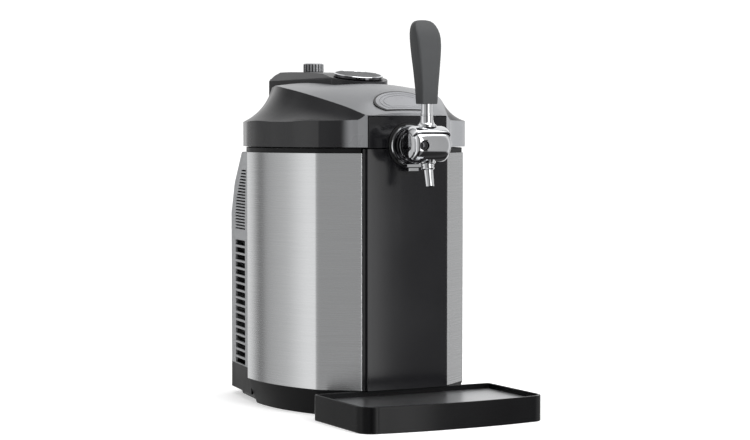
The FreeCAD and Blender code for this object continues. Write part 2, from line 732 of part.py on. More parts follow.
def control_board():
    """Circuit board on posts in the plinth, with its larger parts."""
    long, deep, thick = BOARD
    y0, y1 = BOARD_Y - deep / 2, BOARD_Y + deep / 2
    board = centred(long / 2, y0, y1, BOARD_Z, BOARD_Z + thick)
    top = BOARD_Z + thick
    parts = [board, upright(6, -30, BOARD_Y + 8, top - 0.1, top + 15),
             upright(6, -14, BOARD_Y + 8, top - 0.1, top + 15),
             box(2, 26, BOARD_Y - 4, BOARD_Y + 16, top - 0.1, top + 13),
             box(30, 40, BOARD_Y - 18, BOARD_Y - 8, top - 0.1, top + 8)]
    return fuse(parts)


def power_inlet():
    """Mains inlet with two pins, set in the rear cover."""
    inner = COVER_REAR_Y - 16
    body = inlet_box(0, inner, COVER_REAR_Y)
    rim = inlet_box(2.0, COVER_REAR_Y, COVER_REAR_Y + 1.2)
    well = box(INLET_X - 9.5, INLET_X + 9.5, COVER_REAR_Y - 12, FAR, INLET_Z - 5.5, INLET_Z + 5.5)
    pins = [along_y(1.2, INLET_X + side * 4.3, INLET_Z, COVER_REAR_Y - 12.5, COVER_REAR_Y - 3)
            for side in (-1, 1)]
    return fuse([cut(fuse([body, rim]), well)] + pins)


def switch_housing():
    body = fuse([switch_box(0, COVER_REAR_Y - 14, COVER_REAR_Y),
                 switch_box(1.6, COVER_REAR_Y, COVER_REAR_Y + 1.2)])
    well = box(SWITCH_X - SWITCH_HALF + 1.5, SWITCH_X + SWITCH_HALF - 1.5,
               COVER_REAR_Y - 11, FAR, INLET_Z - SWITCH_HIGH / 2 + 1.2,
               INLET_Z + SWITCH_HIGH / 2 - 1.2)
    pivot = Part.makeCylinder(1.0 + RUNNING_FIT, 2 * SWITCH_HALF,
                              V(SWITCH_X - SWITCH_HALF + 0.6, ROCKER_Y, INLET_Z), X_AXIS)
    pivot = pivot.common(box(SWITCH_X - SWITCH_HALF + 0.6, SWITCH_X + SWITCH_HALF - 0.6,
                             0, FAR, 0, FAR))
    return cut(body, [well, pivot])


def switch_rocker():
    """Paddle with two faces, its lower half pressed in at rest."""
    half = SWITCH_HIGH / 2 - 1.9
    tilt = ROCKER_TILT / 2
    profile = [(ROCKER_Y - 2.5, INLET_Z - half + 1.5), (ROCKER_Y - 2.5, INLET_Z + half - 1.5),
               (ROCKER_Y + 4.4, INLET_Z + half), (ROCKER_Y + 3.2, INLET_Z),
               (ROCKER_Y + 4.4, INLET_Z - half)]
    wide = SWITCH_HALF - 1.5 - FIT
    paddle = side_prism(profile, wide)
    paddle.translate(V(SWITCH_X, 0, 0))
    pin = along_x(1.0, ROCKER_Y, INLET_Z, SWITCH_X - SWITCH_HALF + 0.9, SWITCH_X + SWITCH_HALF - 0.9)
    return turned(fuse([paddle, pin]), -tilt, ROCKER_Y, INLET_Z)


# ---------------------------------------------------------------- lid

# Cross-sections of the lid from front to back: depth, half width at the top of the band,
# height there, half width and height of the crease, height of the crown.
LID_SECTIONS = [
    (-131.0, 62.0, 2.5, 51.5, 5.2, 6.2),
    (-102.0, 81.5, 1.2, 63.5, 15.5, 31.0),
    (-88.9, 99.0, 0.8, 69.4, 19.7, 36.2),
    (-56.0, 114.4, 0.0, 82.5, 28.5, 43.6),
    (-10.0, 125.6, 0.0, 90.0, 37.0, 46.0),
    (40.0, 129.6, 0.0, 90.5, 43.2, 49.0),
    (90.0, 114.4, 0.0, 72.0, 44.5, 50.0),
    (122.0, 100.0, 0.0, 60.0, 44.0, 49.5),
    (145.0, 80.0, 0.0, 50.0, 42.0, 48.0),
]


def lid_points(row, inset):
    """Right half of a cross-section: band top, middle of the flank, crease and crown."""
    half, edge, crease, crease_rise, crown = row[1:]
    edge_z = LID_BAND_TOP + edge - inset
    crease_z = LID_BAND_TOP + crease_rise - inset
    crease -= inset * 0.6
    chord = math.hypot(half - crease, crease_z - edge_z)
    sag = FLANK_SAG * chord
    middle_x = (half + crease) / 2 - sag * (crease_z - edge_z) / chord
    middle_z = (edge_z + crease_z) / 2 - sag * (half - crease) / chord
    return (half, edge_z), (middle_x, middle_z), (crease, crease_z), (0, LID_BAND_TOP + crown - inset)


def lid_section(row, floor):
    """Outer cross-section: hollow flanks up to the creases and a crowned top between them."""
    y = row[0]
    (half, edge_z), (middle_x, middle_z), (crease, crease_z), crown = lid_points(row, 0)
    return Part.Wire([
        line((-half, y, floor), (half, y, floor)),
        line((half, y, floor), (half, y, edge_z)),
        arc((half, y, edge_z), (middle_x, y, middle_z), (crease, y, crease_z)),
        arc((crease, y, crease_z), (0, y, crown[1]), (-crease, y, crease_z)),
        arc((-crease, y, crease_z), (-middle_x, y, middle_z), (-half, y, edge_z)),
        line((-half, y, edge_z), (-half, y, floor)),
    ])


def lid_inside_section(row, floor):
    """Plain cross-section of the room inside, a wall's thickness further in."""
    y = row[0]
    edge, middle, crease, crown = lid_points(row, LID_WALL)
    shoulder = (crease[0] / 2, crown[1] + (crease[1] - crown[1]) / 4)
    right = [(edge[0], floor), edge, middle, crease, shoulder]
    left = [(-x, z) for x, z in reversed(right)]
    return polygon([(x, y, z) for x, z in [*right, crown, *left]])


def lid_solid():
    """The lid as a full body."""
    body = Part.makeLoft([lid_section(row, LID_BOTTOM) for row in LID_SECTIONS], True, False)
    plan = grown(body_face(LID_FRONT_HALF), LID_PROUD)
    return body.common(extruded(plan, LID_BOTTOM, FAR))


def lid_inside():
    floor = LID_BOTTOM - LID_WALL
    body = Part.makeLoft([lid_inside_section(row, floor) for row in LID_SECTIONS], True, True)
    plan = grown(body_face(LID_FRONT_HALF), LID_PROUD - LID_WALL)
    return body.common(extruded(plan, floor, FAR))


def spine_plan(inset, z0, z1):
    nose_r = SPINE_NOSE_R - inset
    rear_half = SPINE_REAR_HALF - inset
    rear_y = SPINE_REAR_Y - inset
    side_y = SPINE_NOSE_Y + 3
    corner = 8.0
    face = symmetric_face([
        arc((0, SPINE_NOSE_Y - nose_r, 0),
            (nose_r * math.sin(math.radians(45)), SPINE_NOSE_Y - nose_r * math.cos(math.radians(45)), 0),
            (nose_r, side_y, 0)),
        line((nose_r, side_y, 0), (rear_half, rear_y - corner, 0)),
        arc((rear_half, rear_y - corner, 0),
            (rear_half - corner * 0.3, rear_y - corner * 0.3, 0), (rear_half - corner, rear_y, 0)),
        line((rear_half - corner, rear_y, 0), (0, rear_y, 0)),
    ])
    return extruded(face, z0, z1)


def spine_profile(inset):
    """Side view of the spine: a tilted nose, a long gentle rise and a cut rear corner."""
    slope = math.tan(math.radians(LOCK_TILT))
    nose_front = SPINE_NOSE_Y - SPINE_NOSE_R - 5
    nose_back = LOCK_Y + DISC_R + 1
    points = [
        (nose_front, SPINE_BOTTOM - 20),
        (nose_front, LOCK_Z + (nose_front - LOCK_Y) * slope - inset),
        (nose_back, LOCK_Z + (nose_back - LOCK_Y) * slope - inset),
        (nose_back + 2, SPINE_TOP - 3.6 - inset),
        (75.0, SPINE_TOP - 1.0 - inset),
        (115.0, SPINE_TOP - inset),
        (SPINE_REAR_Y - 13 - inset, SPINE_TOP - inset),
        (SPINE_REAR_Y - inset, SPINE_TOP - 9 - inset),
        (SPINE_REAR_Y - inset, SPINE_BOTTOM - 20),
    ]
    return side_prism(points, FAR)


def spine_solid(inset):
    return spine_plan(inset, SPINE_BOTTOM, SPINE_TOP + 20).common(spine_profile(inset))


def notch(grow):
    """Room in the lid's front for the fascia."""
    half = FASCIA_HALF + FIT + grow
    return centred(half, -FAR, FASCIA_REAR_Y + 2 * FIT + grow, 0,
                   FASCIA_TOP + FASCIA_ARCH + 0.5 + grow)


def on_slope(shape):
    """Lay a shape drawn about the origin on the display's slope."""
    y, z = DISPLAY_FOOT
    laid = turned(shape, DISPLAY_SLOPE, 0, 0)
    laid.translate(V(0, y, z))
    return laid


def half_moon(grow, low, high):
    """Half-moon with its straight side to the front, upright before it is laid down."""
    half, tall = DISPLAY_HALF + grow, DISPLAY_HEIGHT + grow
    side = 6.0
    return extruded(symmetric_face([
        line((0, -grow, 0), (half - 5, -grow, 0)),
        arc((half - 5, -grow, 0), (half - 0.8, 1.6 - grow, 0), (half, side, 0)),
        arc((half, side, 0), (half * 0.66, tall * 0.82, 0), (0, tall, 0)),
    ]), low, high)


def placed_on_bolt(shape):
    """Move a shape from the bolt's own frame to its place under the lock disc.

    In the bolt's frame the disc's axis is Z through 0, LOCK_Y and the bolt's
    middle plane is z = 0.
    """
    moved = shape.copy()
    moved.translate(V(0, 0, LOCK_Z - BOLT_DROP))
    return turned(moved, LOCK_TILT, LOCK_Y, LOCK_Z)


def bolt_slot(room):
    """Straight way for the bolt, from the disc's axis to the front."""
    half = BOLT_THICK / 2 + room
    return placed_on_bolt(centred(BOLT_HALF + room, -FAR, 0, -half, half))


def lid_shell():
    outer = lid_solid()
    inner = cut(lid_inside(), notch(LID_WALL))
    opening = spine_plan(SPINE_WALL + 1.5, LID_BAND_TOP + 15, FAR)
    lens_hole = on_slope(half_moon(FIT - 2.5, -20, 40))
    lens_seat = on_slope(half_moon(FIT, -LENS_THICK, 40))
    bolt_hole = bolt_slot(BOLT_ROOM)
    bolt_hole = bolt_hole.common(centred(FAR, FASCIA_REAR_Y, FASCIA_REAR_Y + 2 * LID_WALL, 0, FAR))
    shell = cut(outer, [inner, notch(0), opening, lens_hole, lens_seat, bolt_hole])
    return fuse([shell] + lid_knuckles())


def lid_knuckles():
    """Two lugs at each hinge, joined to the lid's rear wall."""
    lugs = []
    rear = CORE_REAR_Y + LID_PROUD
    for centre in (-HINGE_X, HINGE_X):
        for side in (-1, 1):
            middle = centre + side * (KNUCKLE / 2 + FIT + 4)
            lug = fuse([along_x(HINGE_R, HINGE_Y, HINGE_Z, middle - 4, middle + 4),
                        box(middle - 4, middle + 4, rear - 1, HINGE_Y, HINGE_Z - 3, HINGE_Z + HINGE_R)])
            lugs.append(cut(lug, along_x(HINGE_PIN_R + HINGE_PIN_FIT, HINGE_Y, HINGE_Z,
                                         middle - 5, middle + 5)))
    return lugs


def hinge_brackets():
    """Middle knuckles, with a plate each that is screwed to the collar's back."""
    made = []
    plate_y = CORE_REAR_Y - COLLAR_INSET
    web_y = CORE_REAR_Y + LID_PROUD + 2 * FIT
    for centre in (-HINGE_X, HINGE_X):
        half = KNUCKLE / 2
        knuckle = along_x(HINGE_R, HINGE_Y, HINGE_Z, centre - half, centre + half)
        foot = box(centre - half, centre + half, plate_y, HINGE_Y + HINGE_R,
                   BODY_TOP, COLLAR_TOP)
        web = box(centre - half, centre + half, web_y, HINGE_Y + HINGE_R,
                  BODY_TOP, HINGE_Z)
        bore = along_x(HINGE_PIN_R + HINGE_PIN_FIT, HINGE_Y, HINGE_Z, -FAR, FAR)
        made.append(cut(fuse([knuckle, foot, web]), bore))
    return made


def hinge_pins():
    reach = KNUCKLE / 2 + FIT + 8
    return [along_x(HINGE_PIN_R, HINGE_Y, HINGE_Z, x - reach, x + reach)
            for x in (-HINGE_X, HINGE_X)]


def lid_liner():
    """Inner plate of the lid, with the insulated plug that hangs into the well's mouth."""
    face = grown(body_face(LID_FRONT_HALF), LID_PROUD - LID_WALL - FIT)
    plate = extruded(face, PLATE_Z, PLATE_Z + LINER_PLATE)
    plate = cut(plate, notch(LID_WALL + FIT))
    plug = upright(PLUG_R, 0, 0, PLATE_Z - PLUG_DEPTH, PLATE_Z + 1)
    hollow = upright(PLUG_R - 3, 0, 0, PLATE_Z - PLUG_DEPTH + 3, FAR)
    coupler = upright(COUPLER_R + FIT, 0, 0, 0, FAR)
    return cut(fuse([plate, plug]), [hollow, coupler])


def lid_seal():
    ring = upright(MOUTH_R + SEAL_WIDTH, 0, 0, COLLAR_TOP + FIT, PLATE_Z)
    return cut(ring, upright(MOUTH_R, 0, 0, 0, FAR))


def lid_spine():
    outer = spine_solid(0)
    inner = spine_plan(SPINE_WALL, SPINE_BOTTOM - 1, SPINE_TOP + 20).common(spine_profile(SPINE_WALL))
    shell = cut(outer, [inner, lid_solid()])
    spindle = upright(SPINDLE_R + STEM_FIT, 0, LOCK_Y, LOCK_Z - SPINDLE_LENGTH, LOCK_Z + 2 * DISC_R)
    spindle = turned(spindle, LOCK_TILT, LOCK_Y, LOCK_Z)
    knob_hole = upright(KNOB_STEM_R + STEM_FIT, 0, REG_Y, REG_TOP, FAR)
    return cut(shell, [spindle, knob_hole])


# ---------------------------------------------------------------- lock

def lock_disc():
    """Round lock knob: a flat top with a bright bevel round it."""
    low = LOCK_Z + DISC_LIFT
    rim = Part.makeCone(DISC_R - 1.2, DISC_R, 1.4, V(0, LOCK_Y, low), Z_AXIS)
    bevel = Part.makeCone(DISC_R, DISC_R - 3.0, DISC_THICK - 1.4, V(0, LOCK_Y, low + 1.4), Z_AXIS)
    top_recess = upright(DISC_R - 4.2, 0, LOCK_Y, low + DISC_THICK - 0.5, low + DISC_THICK + 1)
    return turned(cut(fuse([rim, bevel]), top_recess), LOCK_TILT, LOCK_Y, LOCK_Z)


def crank_angle_place():
    """Crank pin's offset from the axis with the bolt drawn back."""
    return -BOLT_TRAVEL / 2, BOLT_TRAVEL / 2


def lock_spindle():
    low = LOCK_Z - SPINDLE_LENGTH
    px, py = crank_angle_place()
    shaft = upright(SPINDLE_R, 0, LOCK_Y, low, LOCK_Z + DISC_LIFT)
    crank = upright(CRANK_R, 0, LOCK_Y, low - CRANK_THICK, low + 0.1)
    pin = upright(CRANK_PIN_R, px, LOCK_Y + py, low - CRANK_THICK - 1 - BOLT_THICK, low - 1)
    return turned(fuse([shaft, crank, pin]), LOCK_TILT, LOCK_Y, LOCK_Z)


def latch_bolt():
    """Flat bolt: the crank pin works in its cross slot and its nose enters the fascia."""
    px, py = crank_angle_place()
    half = BOLT_THICK / 2
    nose_y = (FASCIA_REAR_Y + 1.2 - LOCK_Y) / math.cos(math.radians(LOCK_TILT)) + LOCK_Y
    bar = centred(BOLT_HALF, nose_y - 2, LOCK_Y + 14, -half, half)
    head = box(-BOLT_HALF - 5, BOLT_HALF, LOCK_Y - 6, LOCK_Y + 14, -half, half)
    slot = box(px - 4.5, px + 4.5, LOCK_Y + py - CRANK_PIN_R - 0.45,
               LOCK_Y + py + CRANK_PIN_R + 0.45, -half - 1, half + 1)
    return placed_on_bolt(cut(fuse([bar, head]), slot))


def latch_guide():
    """Bridge on the lid liner that the bolt slides through."""
    slope = math.tan(math.radians(LOCK_TILT))
    bolt_z = LOCK_Z - BOLT_DROP + (GUIDE_Y - LOCK_Y) * slope
    bridge = centred(BOLT_HALF + GUIDE_WALL, GUIDE_Y - GUIDE_HALF, GUIDE_Y + GUIDE_HALF,
                     PLATE_Z + LINER_PLATE, bolt_z + BOLT_THICK + GUIDE_WALL)
    return cut(bridge, bolt_slot(FIT))


# ---------------------------------------------------------------- display

def display_lens():
    slab = on_slope(half_moon(0, -LENS_THICK, 40))
    return slab.common(lid_solid())


def display_board():
    """Small board with the figures' light module, close under the lens."""
    top = -LENS_THICK - MODULE_THICK
    half = DISPLAY_HALF - 12
    board = on_slope(centred(half, 4, DISPLAY_HEIGHT - 8, top - BOARD[2], top))
    module = on_slope(centred(half - 8, 6, DISPLAY_HEIGHT - 10, top - 0.1, -LENS_THICK - FIT))
    return fuse([board, module])


# ---------------------------------------------------------------- gas

def regulator_knob():
    low = SPINE_TOP + 0.4
    top = low + KNOB_HEIGHT
    bevel = Part.makeCone(KNOB_R, KNOB_R - KNOB_BEVEL, KNOB_BEVEL, V(0, REG_Y, top - KNOB_BEVEL))
    knob = fuse([upright(KNOB_R, 0, REG_Y, low, top - KNOB_BEVEL), bevel])
    flutes = []
    for i in range(KNOB_FLUTES):
        angle = 2 * math.pi * i / KNOB_FLUTES
        reach = KNOB_R + FLUTE_R / 2
        flutes.append(upright(FLUTE_R, reach * math.cos(angle), REG_Y + reach * math.sin(angle),
                              low + KNOB_BEVEL, top - 2 * KNOB_BEVEL))
    stem = upright(KNOB_STEM_R, 0, REG_Y, REG_TOP + FIT, low + 1)
    return fuse([cut(knob, flutes), stem])


def regulator_body():
    """Regulator: a foot on the liner plate, a column, the round body and a neck socket."""
    foot = upright(REG_R - 1, 0, REG_Y - 4, PLATE_Z + LINER_PLATE, PLATE_Z + LINER_PLATE + 4)
    column = upright(9, 0, REG_Y - 4, PLATE_Z + LINER_PLATE + 3, CARTRIDGE_Z)
    column = column.common(centred(FAR, -FAR, REG_Y + 6, 0, FAR))
    body = upright(REG_R, 0, REG_Y, CARTRIDGE_Z - 14, REG_TOP - REG_BONNET)
    bonnet = upright(KNOB_STEM_R + 3.5, 0, REG_Y, REG_TOP - REG_BONNET - 1, REG_TOP)
    cartridge_end = CARTRIDGE_FRONT_Y + CARTRIDGE_LENGTH
    socket = along_y(8, 0, CARTRIDGE_Z, cartridge_end, REG_Y)
    return fuse([foot, column, body, bonnet, socket])


def co2_cartridge():
    """Small gas cartridge: a round base, a straight wall, a shoulder and a neck."""
    y0 = CARTRIDGE_FRONT_Y
    y1 = y0 + CARTRIDGE_LENGTH
    r = CARTRIDGE_R
    profile = [(0, y0), (r - 6, y0), (r - 1.8, y0 + 2.4), (r, y0 + 7), (r, y1 - 22),
               (r - 1.8, y1 - 15.5), (CARTRIDGE_NECK_R, y1 - 9), (CARTRIDGE_NECK_R, y1), (0, y1)]
    return turned_profile_y(profile, 0, CARTRIDGE_Z)


def keg_coupler():
    """Fitting in the middle of the lid that meets the keg's valve."""
    plate_top = PLATE_Z - PLUG_DEPTH + 3
    low = PLATE_Z - PLUG_DEPTH
    stem = upright(COUPLER_R, 0, 0, low - 5, plate_top + 20)
    flange = upright(COUPLER_R + 8, 0, 0, plate_top, plate_top + 3)
    nozzle = Part.makeCone(3.5, 5.5, 3, V(0, 0, low - 8), Z_AXIS)
    barb = upright(3.4, 0, GAS_BARB_Y, plate_top + 2, plate_top + 8)
    return fuse([stem, flange, nozzle, barb])


def gas_tube():
    """Tube from the regulator's column forward and down to the coupler's barb."""
    start_y = REG_Y - 4 - 9
    low = PLATE_Z - PLUG_DEPTH + 3 + 8
    bend = 8.0
    path = Part.Wire([
        line((0, start_y, GAS_TUBE_Z), (0, GAS_BARB_Y + bend, GAS_TUBE_Z)),
        arc((0, GAS_BARB_Y + bend, GAS_TUBE_Z),
            (0, GAS_BARB_Y + bend * (1 - math.sin(math.radians(45))),
             GAS_TUBE_Z - bend * (1 - math.cos(math.radians(45)))),
            (0, GAS_BARB_Y, GAS_TUBE_Z - bend)),
        line((0, GAS_BARB_Y, GAS_TUBE_Z - bend), (0, GAS_BARB_Y, low)),
    ])
    ring = Part.Wire(Part.makeCircle(GAS_TUBE_R, V(0, start_y, GAS_TUBE_Z), Y_AXIS))
    return path.makePipeShell([ring], True, False)


# ---------------------------------------------------------------- tap

def tap_gasket():
    y = FASCIA_FACE_Y
    ring = along_y(GASKET_R, 0, TAP_Z, y - GASKET_THICK, y)
    return cut(ring, along_y(SHANK_R + THREAD_FIT, 0, TAP_Z, -FAR, 0))


def tap_flange():
    """Bright wall flange with a stepped collar."""
    y = FLANGE_Y
    r = TAP_COLLAR_R
    end = y - FLANGE_THICK - TAP_COLLAR_LENGTH
    bore_r = SHANK_R + THREAD_FIT
    profile = [
        (bore_r, y), (FLANGE_R, y), (FLANGE_R, y - 1.5), (FLANGE_R - 2.5, y - FLANGE_THICK),
        (r, y - FLANGE_THICK), (r, y - FLANGE_THICK - 4), (r - 2, y - FLANGE_THICK - 4.6),
        (r - 2, y - FLANGE_THICK - 6.6), (r - 0.8, y - FLANGE_THICK - 7.2),
        (r - 0.8, y - FLANGE_THICK - 10.2), (r - 3.2, y - FLANGE_THICK - 10.8),
        (r - 3.2, y - FLANGE_THICK - 12.6), (r - 2.2, y - FLANGE_THICK - 13.2),
        (r - 2.2, end + 1.2), (r - 4, end), (bore_r, end),
    ]
    return turned_profile_y(profile, 0, TAP_Z)


def tap_shank():
    """Threaded tube from the tap through the fascia, with a push-in end for the keg's line."""
    end = FLANGE_Y - FLANGE_THICK - TAP_COLLAR_LENGTH
    tube = along_y(SHANK_R, 0, TAP_Z, end, FASCIA_REAR_Y - 7)
    barb = along_y(5.0, 0, TAP_Z, FASCIA_REAR_Y - 8, FASCIA_REAR_Y - 0.5)
    bore = along_y(3.0, 0, TAP_Z, end - 1, 0)
    return cut(fuse([tube, barb]), bore)


def shank_nut():
    y0 = FASCIA_FACE_Y + PANEL_WALL
    points = []
    for i in range(6):
        angle = math.radians(60 * i)
        points.append((NUT_R * math.cos(angle), y0, TAP_Z + NUT_R * math.sin(angle)))
    nut = prism(polygon(points), V(0, NUT_THICK, 0))
    return cut(nut, along_y(SHANK_R + THREAD_FIT, 0, TAP_Z, -FAR, 0))


def barrel_profile(radius, half, bevel):
    """Barrel about X with bevelled ends, as a solid."""
    points = [(-half, 0), (-half, radius - bevel * 1.3), (-half + bevel * 0.45, radius - bevel * 0.45),
              (-half + bevel * 1.2, radius), (half - bevel * 1.2, radius),
              (half - bevel * 0.45, radius - bevel * 0.45), (half, radius - bevel * 1.3), (half, 0)]
    wire = polygon([(x, BARREL_Y, TAP_Z + r) for x, r in points])
    return Part.Face(wire).revolve(V(0, BARREL_Y, TAP_Z), X_AXIS, 360)


def barrel_sector(front, rear, radius):
    """Wedge about the barrel's axis, angles from the vertical."""
    count = 6
    points = [(BARREL_Y, TAP_Z)]
    for i in range(count + 1):
        angle = math.radians(-front + (front + rear) * i / count)
        points.append((BARREL_Y + radius * math.sin(angle), TAP_Z + radius * math.cos(angle)))
    return side_prism(points, FAR)


def tap_body():
    """Barrel with a cross bore for the valve spindle, a neck behind and the outlet below."""
    barrel = barrel_profile(BARREL_R, BARREL_HALF, BARREL_BEVEL)
    neck = along_y(9.0, 0, TAP_Z, BARREL_Y, FLANGE_Y - FLANGE_THICK - TAP_COLLAR_LENGTH)
    outlet = Part.makeCone(9.0, 12.0, 8.0, V(0, BARREL_Y - 2, SPOUT_TOP_Z), Z_AXIS)
    bore = along_x(SPINDLE_BORE_R, BARREL_Y, TAP_Z, -BARREL_HALF + 5, BARREL_HALF - 5)
    swing = math.degrees(math.asin((STEM_R + STEM_ROOM) / SPINDLE_BORE_R))
    slot = barrel_sector(LEVER_PULL + swing, swing, 2 * BARREL_R).common(
        box(-STEM_R - STEM_ROOM, STEM_R + STEM_ROOM, -FAR, FAR, 0, FAR))
    slot = slot.cut(along_x(SPINDLE_BORE_R - 3, BARREL_Y, TAP_Z, -FAR, FAR))
    screw = along_y(6.0, -13.2, TAP_Z, -FAR, BARREL_Y - BARREL_R + 3.5)
    feed = along_y(3.0, 0, TAP_Z, BARREL_Y + SPINDLE_BORE_R - 2, 0)
    drain = upright(SPOUT_BORE_R, 0, BARREL_Y - 2, 0, TAP_Z - SPINDLE_BORE_R + 3)
    return cut(fuse([barrel, neck, outlet]), [bore, slot, screw, feed, drain])


def tap_screw():
    """Domed retaining screw in the barrel's front recess."""
    y = BARREL_Y - BARREL_R + 3.5
    head = along_y(4.6, -13.2, TAP_Z, y - 1.6, y)
    dome = Part.makeSphere(6.5, V(-13.2, y + 4.0, TAP_Z)).common(
        along_y(4.0, -13.2, TAP_Z, y - 4, y - 1.5))
    return fuse([head, dome])


def valve_spindle():
    """Turning plug of the tap, with a flat for the lever's stem and a cross port."""
    half = BARREL_HALF - 5 - FIT
    plug = along_x(SPINDLE_BORE_R - RUNNING_FIT, BARREL_Y, TAP_Z, -half, half)
    flat = box(-STEM_R - 2, STEM_R + 2, BARREL_Y - 20, BARREL_Y + 20, TAP_Z + 8, TAP_Z + 20)
    return cut(plug, flat)


def lever_neck():
    """Saddle over the barrel, the stem down to the spindle and the bright neck above."""
    inner_r = BARREL_R + SADDLE_GAP
    outer_r = inner_r + SADDLE_THICK
    outer = barrel_profile(outer_r, BARREL_HALF, BARREL_BEVEL)
    inner = barrel_profile(inner_r, BARREL_HALF + 1.2, BARREL_BEVEL)
    saddle = cut(outer, inner).common(barrel_sector(SADDLE_FRONT, SADDLE_REAR, 60))
    stem = upright(STEM_R, 0, BARREL_Y, TAP_Z + 8, TAP_Z + outer_r)
    root = Part.makeCone(11.5, 6.9, 7.0, V(0, BARREL_Y, TAP_Z + outer_r - 2.2), Z_AXIS)
    root = root.cut(inner)
    neck = Part.makeCone(6.9, 4.9, HANDLE_BOTTOM - TAP_Z - outer_r - 4.7,
                         V(0, BARREL_Y, TAP_Z + outer_r + 4.7), Z_AXIS)
    return fuse([saddle, stem, root, neck])


def tap_handle():
    """Handle that widens upward, with a flat front and a crown that falls to the front."""
    z0 = HANDLE_BOTTOM
    tall = HANDLE_TOP - HANDLE_BOTTOM
    y = BARREL_Y
    side = Part.Wire([
        line((-40, y + 7.2, z0), (-40, y - 7.6, z0)),
        arc((-40, y - 7.6, z0), (-40, y - 10.6, z0 + tall * 0.46), (-40, y - 9.6, z0 + tall * 0.74)),
        arc((-40, y - 9.6, z0 + tall * 0.74), (-40, y - 2.0, z0 + tall * 0.90),
            (-40, y + 10.0, z0 + tall * 0.985)),
        arc((-40, y + 10.0, z0 + tall * 0.985), (-40, y + 14.6, z0 + tall * 0.985),
            (-40, y + 17.6, z0 + tall * 0.94)),
        arc((-40, y + 17.6, z0 + tall * 0.94), (-40, y + 15.6, z0 + tall * 0.68),
            (-40, y + 7.2, z0)),
    ])
    depth_body = prism(side, V(80, 0, 0))
    front = Part.Face(Part.Wire([
        line((-9.0, y - 40, z0), (9.0, y - 40, z0)),
        arc((9.0, y - 40, z0), (13.0, y - 40, z0 + tall * 0.56), (13.6, y - 40, z0 + tall * 0.80)),
        arc((13.6, y - 40, z0 + tall * 0.80), (0, y - 40, HANDLE_TOP),
            (-13.6, y - 40, z0 + tall * 0.80)),
        arc((-13.6, y - 40, z0 + tall * 0.80), (-13.0, y - 40, z0 + tall * 0.56),
            (-9.0, y - 40, z0)),
    ])).extrude(V(0, 80, 0))
    body = depth_body.common(front)
    long_edges = [edge for edge in body.Edges if edge.BoundBox.ZLength > 20]
    return body.makeFillet(HANDLE_ROUND, long_edges)


def spout():
    """Tapered outlet tube that leans to the front, with its clamp collar."""
    tube = Part.makeCone(SPOUT_R - 0.6, SPOUT_R, SPOUT_LENGTH, V(0, 0, -SPOUT_LENGTH), Z_AXIS)
    collar = upright(7.5, 0, 0, -6.5, 0)
    collar = collar.makeChamfer(1.0, [e for e in collar.Edges if e.BoundBox.ZLength < 0.01])
    bore = upright(SPOUT_BORE_R, 0, 0, -SPOUT_LENGTH - 1, 1)
    made = cut(fuse([tube, collar]), bore)
    made.rotate(ORIGIN, X_AXIS, -SPOUT_LEAN)
    made.translate(V(0, BARREL_Y - 2, SPOUT_TOP_Z))
    return made.common(centred(FAR, -FAR, 0, 0, SPOUT_TOP_Z - 0.01))


def release_tab():
    """Push tab below the flange that frees the tap."""
    y1 = FLANGE_Y - FLANGE_THICK
    wedge = plan_prism([(-9, y1 - 9), (9, y1 - 9), (9, y1 - 0.4), (-9, y1 - 0.4)],
                       TAP_Z - 30.5, TAP_Z - TAP_COLLAR_R - 2.6)
    lower = box(-6.5, 6.5, y1 - 8, y1 - 0.4, TAP_Z - 30.5, TAP_Z - 23)
    upper = wedge.common(box(-FAR, FAR, -FAR, FAR, TAP_Z - 26, FAR))
    return fuse([lower, upper])


# ---------------------------------------------------------------- drip tray

def tray_face(inset):
    half = TRAY_HALF - inset
    rear = TRAY_REAR_Y - inset
    front = TRAY_REAR_Y - TRAY_DEPTH + inset
    side_front = front + TRAY_BOW
    c = TRAY_CORNER - inset
    rc = max(TRAY_REAR_CORNER - inset, 1.0)
    k = 1 - math.sin(math.radians(45))
    return symmetric_face([
        line((0, rear, 0), (half - rc, rear, 0)),
        arc((half - rc, rear, 0), (half - rc * k, rear - rc * k, 0), (half, rear - rc, 0)),
        line((half, rear - rc, 0), (half, side_front + c, 0)),
        arc((half, side_front + c, 0), (half - c * k, side_front + c * k, 0),
            (half - c, side_front + 1, 0)),
        arc((half - c, side_front + 1, 0), (half * 0.5, front + TRAY_BOW * 0.34, 0), (0, front, 0)),
    ])


def drip_tray():
    block = extruded(tray_face(0), TRAY_LIFT, TRAY_TOP)
    plate_room = extruded(tray_face(TRAY_WALL), PLATE_TOP - PLATE_THICK, FAR)
    basin = extruded(tray_face(TRAY_WALL + LEDGE), TRAY_LIFT + TRAY_FLOOR, FAR)
    tongues = both_sides(box(TONGUE_X - TONGUE_HALF, TONGUE_X + TONGUE_HALF,
                             TRAY_REAR_Y - 1, TRAY_REAR_Y + TONGUE_LENGTH,
                             TONGUE_Z, TONGUE_Z + TONGUE_THICK))
    return fuse([cut(block, [plate_room, basin])] + tongues)


def drip_plate():
    return extruded(tray_face(TRAY_WALL + FIT), PLATE_TOP - PLATE_THICK + 0.01, PLATE_TOP)


# ---------------------------------------------------------------- all nodes

